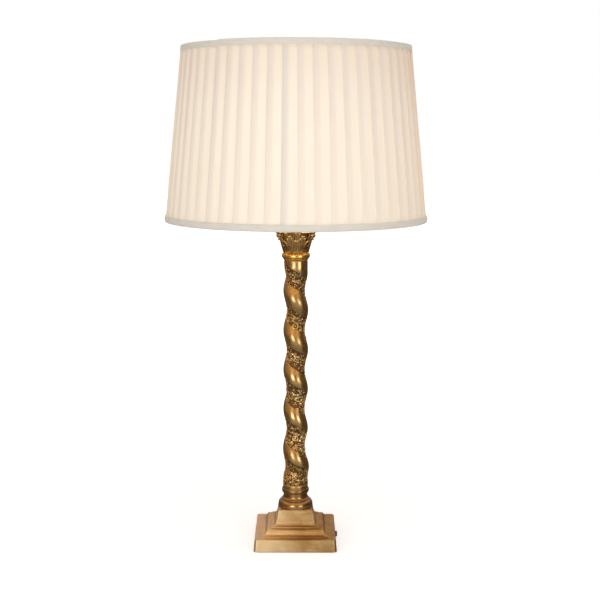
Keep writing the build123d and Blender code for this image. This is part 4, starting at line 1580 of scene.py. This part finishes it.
@dataclass
class PleatedShade:
    """Knife-pleated silk cover with its lining and bound rims."""

    low_z: float = 585.5
    high_z: float = 885.5
    low_radius: float = 228.8
    high_radius: float = 198.2
    pleats: int = 53
    phase: float = 270.9
    overlap: float = 0.44
    rows: int = 15
    # Pleat that carries a dark line of painted shade in the glow.
    painted_dark_line_pleat: int = 52
    seed: int = 5
    silk_thickness: float = 0.22
    lining_gap: float = 7.6
    lining_wave: float = 0.25
    lining_rows: int = 10
    lining_steps: int = 192
    lining_thickness: float = 0.5
    trim_steps: int = 240

    def share(self, z: float) -> float:
        """How far up the shade a height is, from 0 to 1."""
        return (z - self.low_z) / (self.high_z - self.low_z)

    def radius(self, z: float) -> float:
        """Radius of the pleats' crests at a height."""
        return self.low_radius + (self.high_radius - self.low_radius) * self.share(z)

    def pleat(self, place: Vector) -> float:
        """Which pleat a place is in, counted from the front, with the share of the way through it."""
        return (degrees(atan2(place.y, place.x)) - self.phase) % 360.0 / (360.0 / self.pleats)

    def line(self) -> list[tuple[float, float, float]]:
        """Way of the cloth through one pleat, from its visible fold to the next one.

        Returns:
            Share of the pitch, depth below the crest, and how dark the folded layers make it.
        """
        under = 1.0 + self.overlap
        return [
            (0.000, -0.34, 1.00),
            (0.006, -0.10, 1.00),
            (0.020, 0.00, 1.00),
            (0.130, 0.00, 0.86),
            (0.260, -0.02, 0.70),
            (0.380, -0.05, 0.52),
            (0.470, -0.13, 0.16),
            (0.560, -0.32, 0.03),
            (0.720, -0.80, 0.00),
            (0.880, -1.30, 0.00),
            (0.985, -1.58, 0.06),
            (1.120, -1.70, 1.00),
            (under - 0.02, -1.76, 1.00),
            (under, -1.50, 1.00),
            (under - 0.02, -1.22, 1.00),
            (1.160, -0.92, 1.00),
            (1.018, -0.66, 1.00),
        ]

    def cover(self) -> Mesh:
        """Folds one pleat, repeats it round the shade and draws it up to the top rim.

        Returns:
            The mesh of the cloth.
        """
        mesh = bmesh.new()
        # Layers of painted shade in the glow: where folded layers lie, and along one dark line.
        fold = mesh.verts.layers.float.new("fold")
        painted_dark_line = mesh.verts.layers.float.new("painted_dark_line")
        way = mesh.verts.layers.float.new("way")
        pitch = TURN / self.pleats
        start = radians(self.phase)
        verts, run, last = [], 0.0, None
        for share, depth, dark in self.line() + [(1.0, -0.34, 1.0)]:
            here = polar(self.low_radius + depth, start + pitch * share, self.low_z)
            run += (here - last).length if last is not None else 0.0
            last = here
            vert = mesh.verts.new(here)
            vert[fold], vert[way] = dark, run
            verts.append(vert)
        others = self.pleats - 1
        spin(mesh, verts + chain(mesh, verts), TURN * others / self.pleats, others, use_duplicate=True)
        bmesh.ops.remove_doubles(mesh, verts=mesh.verts, dist=2e-5)
        ring = mesh.edges[:]
        for row in range(1, self.rows):
            grown = bmesh.ops.extrude_edge_only(mesh, edges=ring)["geom"]
            ring = [edge for edge in of_kind(grown, Edge) if
                    all(vert in grown for vert in edge.verts) and len(edge.link_faces) == 1]
            for vert in of_kind(grown, Vert):
                vert.co.z = (self.low_z + (self.high_z - self.low_z) * row / (self.rows - 1)) * MM
        self.settle(mesh, fold, painted_dark_line)
        self.unroll(mesh, way, run)
        return mesh

    def settle(self, mesh: Mesh, fold: Layer, painted_dark_line: Layer) -> None:
        """Tapers the pleats and makes them a little uneven, as hand-folded cloth is.

        Args:
            mesh: The cloth.
            fold: Its layer of painted shade in the glow, where the folded layers lie.
            painted_dark_line: Layer that marks a dark line of painted shade in the glow on one pleat.
        """
        chance = random.Random(self.seed)
        pushes = [chance.uniform(-1.0, 1.0) for _ in range(self.pleats)]
        shades = [chance.uniform(0.82, 1.12) for _ in range(self.pleats)]
        pitch = 360.0 / self.pleats
        for vert in mesh.verts:
            z = vert.co.z / MM
            share = self.share(z)
            pleat = self.pleat(vert.co)
            depth = vert.co.xy.length / MM - self.low_radius
            which = int(pleat + 0.001) % self.pleats
            wander = noise.noise(Vector((which * 3.7, z * 0.006, 1.3)))
            drift = (0.10 * pushes[which] + 0.16 * wander) * sin(pi * share)
            swell = 0.16 * noise.noise(Vector((which * 1.9, z * 0.013, 8.1)))
            radius = self.radius(z) + depth * (0.9 + 0.1 * wander) + swell
            vert.co = polar(radius, radians(self.phase + pleat * pitch + drift), z)
            # Painted shade: the folded layers of one pleat carry a dark line in the glow.
            vert[painted_dark_line] = smooth_step(2.0 * vert[fold] - 0.9) if which == self.painted_dark_line_pleat else 0.0
            # The painted fold shade varies from pleat to pleat and grows towards the top rim.
            vert[fold] = vert[fold] * shades[which] * (0.58 + 0.55 * share)

    def unroll(self, mesh: Mesh, way: Layer, run: float) -> None:
        """Gives the cloth its own flat coordinates.

        Args:
            mesh: The cloth.
            way: Layer that holds the way along one pleat.
            run: Cloth in one pleat, in metres.
        """
        flat = mesh.loops.layers.uv.new("cloth")
        for face in mesh.faces:
            which = int(self.pleat(face.calc_center_median()))
            for loop in face.loops:
                loop[flat].uv = (which * run + loop.vert[way], loop.vert.co.z)

    def lining(self) -> Mesh:
        """Plain cone of cloth inside the frame, with soft waves.

        Returns:
            The mesh of the cloth.
        """
        mesh = bmesh.new()
        verts = []
        for row in range(self.lining_rows + 1):
            z = self.low_z + (self.high_z - self.low_z) * row / self.lining_rows
            verts.append(mesh.verts.new(((self.radius(z) - self.lining_gap) * MM, 0.0, z * MM)))
        spin(mesh, verts + chain(mesh, verts), TURN, self.lining_steps, use_merge=True)
        face_out(mesh)
        for vert in mesh.verts:
            x, y, z = vert.co
            self.push(vert, self.lining_wave * noise.noise(Vector((x * 26.0, y * 26.0, z * 5.0))))
        self.wind(mesh)
        return mesh

    @staticmethod
    def push(vert: Vert, out: float) -> None:
        """Moves a point away from the axis, in millimetres."""
        vert.co.xy = vert.co.xy * (1.0 + out * MM / vert.co.xy.length)

    @staticmethod
    def wind(mesh: Mesh) -> None:
        """Gives cloth that goes round the shade its flat coordinates.

        Args:
            mesh: The cloth.
        """
        flat = mesh.loops.layers.uv.new("cloth")
        for face in mesh.faces:
            middle = face.calc_center_median()
            centre = atan2(middle.y, middle.x)
            for loop in face.loops:
                turn = atan2(loop.vert.co.y, loop.vert.co.x)
                turn = centre + (turn - centre + pi) % TURN - pi
                loop[flat].uv = (turn * 0.21, loop.vert.co.z + loop.vert.co.xy.length)

    @staticmethod
    def lapped(angle: float) -> float:
        """Rise of the tape along the part that is bound over twice, from -0.5 to 0.5."""
        ends = smooth_step((angle - 150.0) / 30.0), smooth_step((angle - 229.0) / 4.0)
        return ends[1] - 0.5 * ends[0] - 0.5 * smooth_step((angle - 300.0) / 25.0)

    def trim(self, profile: list[Point], uneven: float, lap: float = 0.0) -> Mesh:
        """Bound tape round a rim.

        Args:
            profile: Its closed outline.
            uneven: How far it wanders, in millimetres.
            lap: Step in its height where it is bound over twice, in millimetres.

        Returns:
            The mesh of the tape.
        """
        mesh = turned(profile, self.trim_steps)
        for vert in mesh.verts:
            spot = vert.co * 18.0
            vert.co.z += uneven * MM * noise.noise(Vector((spot.x, spot.y, 2.0)))
            vert.co.z += lap * MM * self.lapped(degrees(atan2(vert.co.y, vert.co.x)) % 360.0)
            self.push(vert, 0.5 * uneven * noise.noise(Vector((spot.x * 2.4, spot.y * 2.4, 7.0))))
        self.wind(mesh)
        return mesh

    def bottom_profile(self) -> list[Point]:
        """Outline of the padded tape on the bottom rim."""
        return [
            (220.2, 584.9), (223.3, 584.6), (228.3, 584.6), (229.7, 585.4), (230.4, 587.2), (230.6, 590.0),
            (230.3, 593.0), (229.3, 595.4), (228.2, 596.4), (228.0, 595.6), (228.5, 592.0), (228.7, 586.4),
            (227.3, 585.35), (223.3, 585.3), (220.2, 585.35),
        ]

    def top_profile(self) -> list[Point]:
        """Outline of the flat tape on the top rim."""
        return [
            (190.2, 886.1), (193.5, 886.4), (197.6, 886.4), (198.7, 885.9), (199.1, 884.6), (199.5, 880.5),
            (199.75, 876.6), (199.3, 875.9), (198.9, 876.6), (198.6, 881.0), (198.3, 885.2), (197.2, 885.75),
            (193.5, 885.75), (190.2, 885.75),
        ]

    def build(self) -> None:
        silk, tape = PleatedSilk().material(), TrimTape().material()
        cover = finish_piece(
            "silk_cover", self.cover(), silk, Body.SHADE, ["shade_cover"], 75.0
        )
        self.thicken(cover, self.silk_thickness)
        lining = finish_piece(
            "shade_lining_cloth", self.lining(), LiningCloth().material(), Body.SHADE,
            ["shade_lining"],
        )
        self.thicken(lining, self.lining_thickness)
        trims = [
            finish_piece(
                "rim_tape_bottom", self.trim(self.bottom_profile(), 0.22), tape, Body.SHADE,
                ["shade_bottom_trim"], 70.0,
            ),
            finish_piece(
                "rim_tape_top", self.trim(self.top_profile(), 0.3, 1.2), tape, Body.SHADE,
                ["shade_top_trim"], 70.0,
            ),
        ]

    @staticmethod
    def thicken(piece: bpy.types.Object, thickness: float) -> None:
        """Gives a sheet its thickness, inwards.

        Args:
            piece: The sheet.
            thickness: Thickness in millimetres.
        """
        modifier = piece.modifiers.new("thickness", "SOLIDIFY")
        modifier.thickness = thickness * MM
        modifier.offset = -1.0


@dataclass
class Fittings:
    """Carried-over fittings: lampholder, bulb, gimbal, shade frame and the insides of the base."""

    bulb_centre: Place = (0.0, 0.0, 0.7087)
    bulb_power: float = 1.1
    bulb_colour: Colour = (1.0, 0.70, 0.42)
    bulb_size: float = 0.03

    def dress(self, material: Material, nodes: Iterable[str]) -> None:
        """Gives nodes of the frame a finish.

        Args:
            material: The finish.
            nodes: The nodes' names.
        """
        for name in nodes:
            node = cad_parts[name]
            if not node.material_slots:
                node.data.materials.append(material)
            for place in node.material_slots:
                place.material = material
            LOG.info("%s: finished in %s", name, material.name)

    def light(self) -> None:
        """Puts the bulb's light inside its glass."""
        lamp = bpy.data.lights.new("bulb_light", "POINT")
        lamp.energy = self.bulb_power
        lamp.color = self.bulb_colour
        lamp.shadow_soft_size = self.bulb_size
        made = add_object("bulb_light", lamp)
        made.location = self.bulb_centre
        made.visible_glossy = False
        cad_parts["bulb_glass"].visible_shadow = False

    def build(self) -> None:
        """Dresses the fittings and lights the bulb."""
        dressed = (
            (AgedBrass("cap_brass", smooth=0.18), ("capital_cap",)),
            (
                PlainMetal("lacquered_brass", (0.60, 0.40, 0.15), (0.38, 0.23, 0.08)),
                ("earth_tag", "lock_nut", "holder_cap", "holder_body", "contact_plungers", "switch_bar",
                 "lower_shade_ring", "upper_shade_ring"),
            ),
            (
                PlainMetal("zinc_steel", (0.55, 0.55, 0.54), (0.34, 0.33, 0.31), 0.3, 0.5),
                ("base_cover", "cover_screws", "base_nut", "base_washer", "threaded_tube", "plunger_springs",
                 "gimbal_rivets"),
            ),
            (CastIron(), ("base_weight",)),
            (
                MouldedPlastic("brown_black_plastic", (0.030, 0.024, 0.020), (0.055, 0.046, 0.040)),
                ("cord_inlet_bush", "holder_insulator"),
            ),
            (
                PlainMetal("bulb_tin", (0.66, 0.65, 0.63), (0.45, 0.44, 0.42), 0.25, 0.45),
                ("bulb_cap", "bulb_contacts"),
            ),
            (FrostedGlass(), ("bulb_glass",)),
            (
                PlainMetal("white_wire", (0.78, 0.765, 0.73), (0.66, 0.64, 0.60), 0.35, 0.5, 0.0),
                ("gimbal_ring", "gimbal_arms", "frame_struts", "frame_bottom_ring", "frame_top_ring"),
            ),
        )
        for finish, nodes in dressed:
            self.dress(finish.material(), nodes)
        self.light()


@dataclass(frozen=True)
class Glow:
    """Soft-edged patch of light or shade that only reflections see."""

    azimuth: float
    elevation: float
    width: Point
    height: Point
    colour: Colour
    both_sides: bool = False

    def share(self, graph: Graph, azimuth: Socket, elevation: Socket) -> Socket:
        """How much of the patch covers a direction.

        Args:
            graph: The tree that it goes into.
            azimuth: Angle from the front, to the right, in degrees.
            elevation: Angle above the horizon, in degrees.

        Returns:
            The share from 0 to 1.
        """
        side = graph.sum("ABSOLUTE", azimuth) if self.both_sides else azimuth
        off_side = graph.sum("ABSOLUTE", graph.sum("SUBTRACT", side, self.azimuth))
        off_rise = graph.sum("ABSOLUTE", graph.sum("SUBTRACT", elevation, self.elevation))
        wide = graph.spread(off_side, *self.width, 1.0, 0.0)
        return graph.sum("MULTIPLY", wide, graph.spread(off_rise, *self.height, 1.0, 0.0))


@dataclass(frozen=True)
class SoftLamp:
    """Large soft lamp that no mirror shows."""

    name: str
    place: Place
    aim: Place
    size: Point
    power: float
    colour: Colour = (1.0, 0.98, 0.95)

    def build(self) -> None:
        """Puts the lamp in its place and points it."""
        light = bpy.data.lights.new(self.name, "AREA")
        light.shape = "RECTANGLE"
        light.size, light.size_y = self.size
        light.energy = self.power
        light.color = self.colour
        made = add_object(self.name, light)
        made.location = self.place
        made.rotation_euler = (Vector(self.aim) - Vector(self.place)).to_track_quat("-Z", "Y").to_euler()
        made.visible_glossy = made.visible_camera = False


@dataclass
class Studio:
    """White sweep, soft lamps, a tent that only reflections see, and the camera."""

    camera_place: Place = (0.0074, -2.056, 0.749)
    camera_tilt: float = 8.46
    camera_roll: float = 0.15
    lens: float = 69.95
    fill: float = 0.42
    fill_colour: Colour = (1.0, 0.97, 0.93)
    floor_half: float = 12.0
    tent_radius: float = 9.0
    lamps: tuple[SoftLamp, ...] = (
        SoftLamp("soft_left", (-1.0, -1.5, 0.75), (0.0, 0.0, 0.55), (1.2, 1.4), 8.0),
        SoftLamp("soft_right", (1.0, -1.5, 0.75), (0.0, 0.0, 0.55), (1.2, 1.4), 8.0),
        SoftLamp("soft_top", (0.0, -0.2, 2.4), (0.0, 0.0, 0.5), (1.6, 1.6), 5.0),
    )
    glows: tuple[Glow, ...] = (
        Glow(88.0, -6.0, (25.0, 50.0), (22.0, 36.0), (0.16, 0.125, 0.09)),
        Glow(-85.0, -14.0, (20.0, 45.0), (10.0, 24.0), (0.22, 0.17, 0.12)),
        Glow(180.0, -16.0, (45.0, 78.0), (14.0, 20.0), (0.13, 0.10, 0.07), True),
        Glow(180.0, 20.0, (55.0, 80.0), (8.0, 15.0), (0.68, 0.60, 0.80), True),
        Glow(-62.0, 14.0, (10.0, 40.0), (6.0, 20.0), (0.66, 0.42, 0.20)),
        Glow(-20.0, 28.2, (55.0, 90.0), (8.0, 12.0), (1.6, 0.93, 0.36)),
        Glow(-20.0, 2.0, (7.0, 16.0), (5.0, 13.0), (5.6, 5.4, 5.0)),
        Glow(36.0, 2.0, (6.0, 15.0), (5.0, 13.0), (5.0, 4.8, 4.4)),
    )

    def world(self) -> None:
        """White behind everything that is seen or mirrored, and a soft fill elsewhere."""
        graph = Graph("studio", world=True)
        soft = graph.node("ShaderNodeBackground", {"Color": self.fill_colour, "Strength": self.fill})
        white = graph.node("ShaderNodeBackground", {"Color": (1.0, 1.0, 1.0)})
        shown = {0: graph.seen(), 1: soft.outputs[0], 2: white.outputs[0]}
        bpy.context.scene.world = graph.end(graph.node("ShaderNodeMixShader", shown))

    def floor_paper(self) -> Material:
        """White paper that keeps a faint shadow near the lamp and runs out to plain white.

        Returns:
            The finished material.
        """
        graph = Graph("floor_paper")
        tone = graph.blend(graph.cloud(graph.place(), 260.0), (0.80, 0.80, 0.80), (0.83, 0.83, 0.83))
        paper = graph.node("ShaderNodeBsdfDiffuse", {"Color": tone}).outputs[0]
        away = graph.node("ShaderNodeVectorMath", {"Vector": graph.place()}, operation="LENGTH")
        level = graph.spread(away.outputs["Value"], 0.25, 1.2, 0.54, 0.95)
        glow = graph.node("ShaderNodeEmission", {"Color": (1.0, 1.0, 1.0), "Strength": level}).outputs[0]
        both = graph.node("ShaderNodeAddShader", {0: paper, 1: glow}).outputs[0]
        return graph.end(graph.node("ShaderNodeMixShader", {0: graph.seen(), 1: paper, 2: both}))

    def floor(self) -> None:
        """Large white floor."""
        mesh = bmesh.new()
        bmesh.ops.create_grid(mesh, x_segments=4, y_segments=4, size=self.floor_half)
        floor = add_object("floor", mesh_data("floor", mesh, self.floor_paper()))
        floor.visible_glossy = False

    def tent_paper(self) -> Material:
        """Inside of the tent, with soft boxes, warm light and dark sides.

        Returns:
            The finished material.
        """
        graph = Graph("reflection_tent")
        way = graph.node("ShaderNodeVectorMath", {"Vector": graph.place()}, operation="NORMALIZE")
        parts = graph.parts(way.outputs["Vector"])
        back = graph.sum("MULTIPLY", parts["Y"], -1.0)
        azimuth = graph.sum("MULTIPLY", graph.sum("ARCTAN2", parts["X"], back), 180.0 / pi)
        elevation = graph.sum("MULTIPLY", graph.sum("ARCSINE", parts["Z"]), 180.0 / pi)
        ground = graph.blend(graph.spread(elevation, -46.0, -14.0), (0.28, 0.25, 0.22), (0.74, 0.66, 0.57))
        colour = graph.blend(graph.spread(elevation, -4.0, 7.0), ground, (0.42, 0.38, 0.34))
        colour = graph.blend(graph.spread(elevation, 17.0, 42.0), colour, (1.25, 0.96, 0.68))
        for glow in self.glows:
            colour = graph.blend(glow.share(graph, azimuth, elevation), colour, glow.colour)
        made = graph.end(graph.node("ShaderNodeEmission", {"Color": colour, "Strength": 1.0}))
        made.cycles.emission_sampling = "NONE"
        return made

    def tent(self) -> None:
        """Large dome that only reflections see."""
        mesh = bmesh.new()
        bmesh.ops.create_icosphere(mesh, subdivisions=3, radius=self.tent_radius)
        made = add_object("reflection_tent", mesh_data("reflection_tent", mesh, self.tent_paper()))
        made.visible_camera = made.visible_diffuse = made.visible_shadow = False
        made.visible_transmission = made.visible_volume_scatter = False

    def camera(self) -> None:
        """Camera at the photograph's place."""
        data = bpy.data.cameras.new("camera")
        data.lens = self.lens
        data.sensor_width = 36.0
        data.clip_start, data.clip_end = 0.05, 60.0
        made = add_object("camera", data)
        made.location = self.camera_place
        look = Matrix.Rotation(radians(90.0 - self.camera_tilt), 3, "X")
        made.rotation_euler = (look @ Matrix.Rotation(radians(self.camera_roll), 3, "Z")).to_euler()
        bpy.context.scene.camera = made

    def build(self) -> None:
        """Sets up the whole studio."""
        bpy.context.scene.view_settings.view_transform = "Standard"
        self.world()
        self.floor()
        for lamp in self.lamps:
            lamp.build()
        self.tent()
        self.camera()


def main() -> None:
    """Builds the lamp and the studio in order."""
    logging.basicConfig(level=logging.INFO, format="%(name)s: %(message)s")
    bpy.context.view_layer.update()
    parts = (SteppedBase, TurnedParts, TwistedShaft, LeafCapital, PleatedShade, Fittings, Studio)
    for part in (kind() for kind in parts):
        LOG.info("building %s", type(part).__name__)
        part.build()


if __name__ == "__main__":
    main()
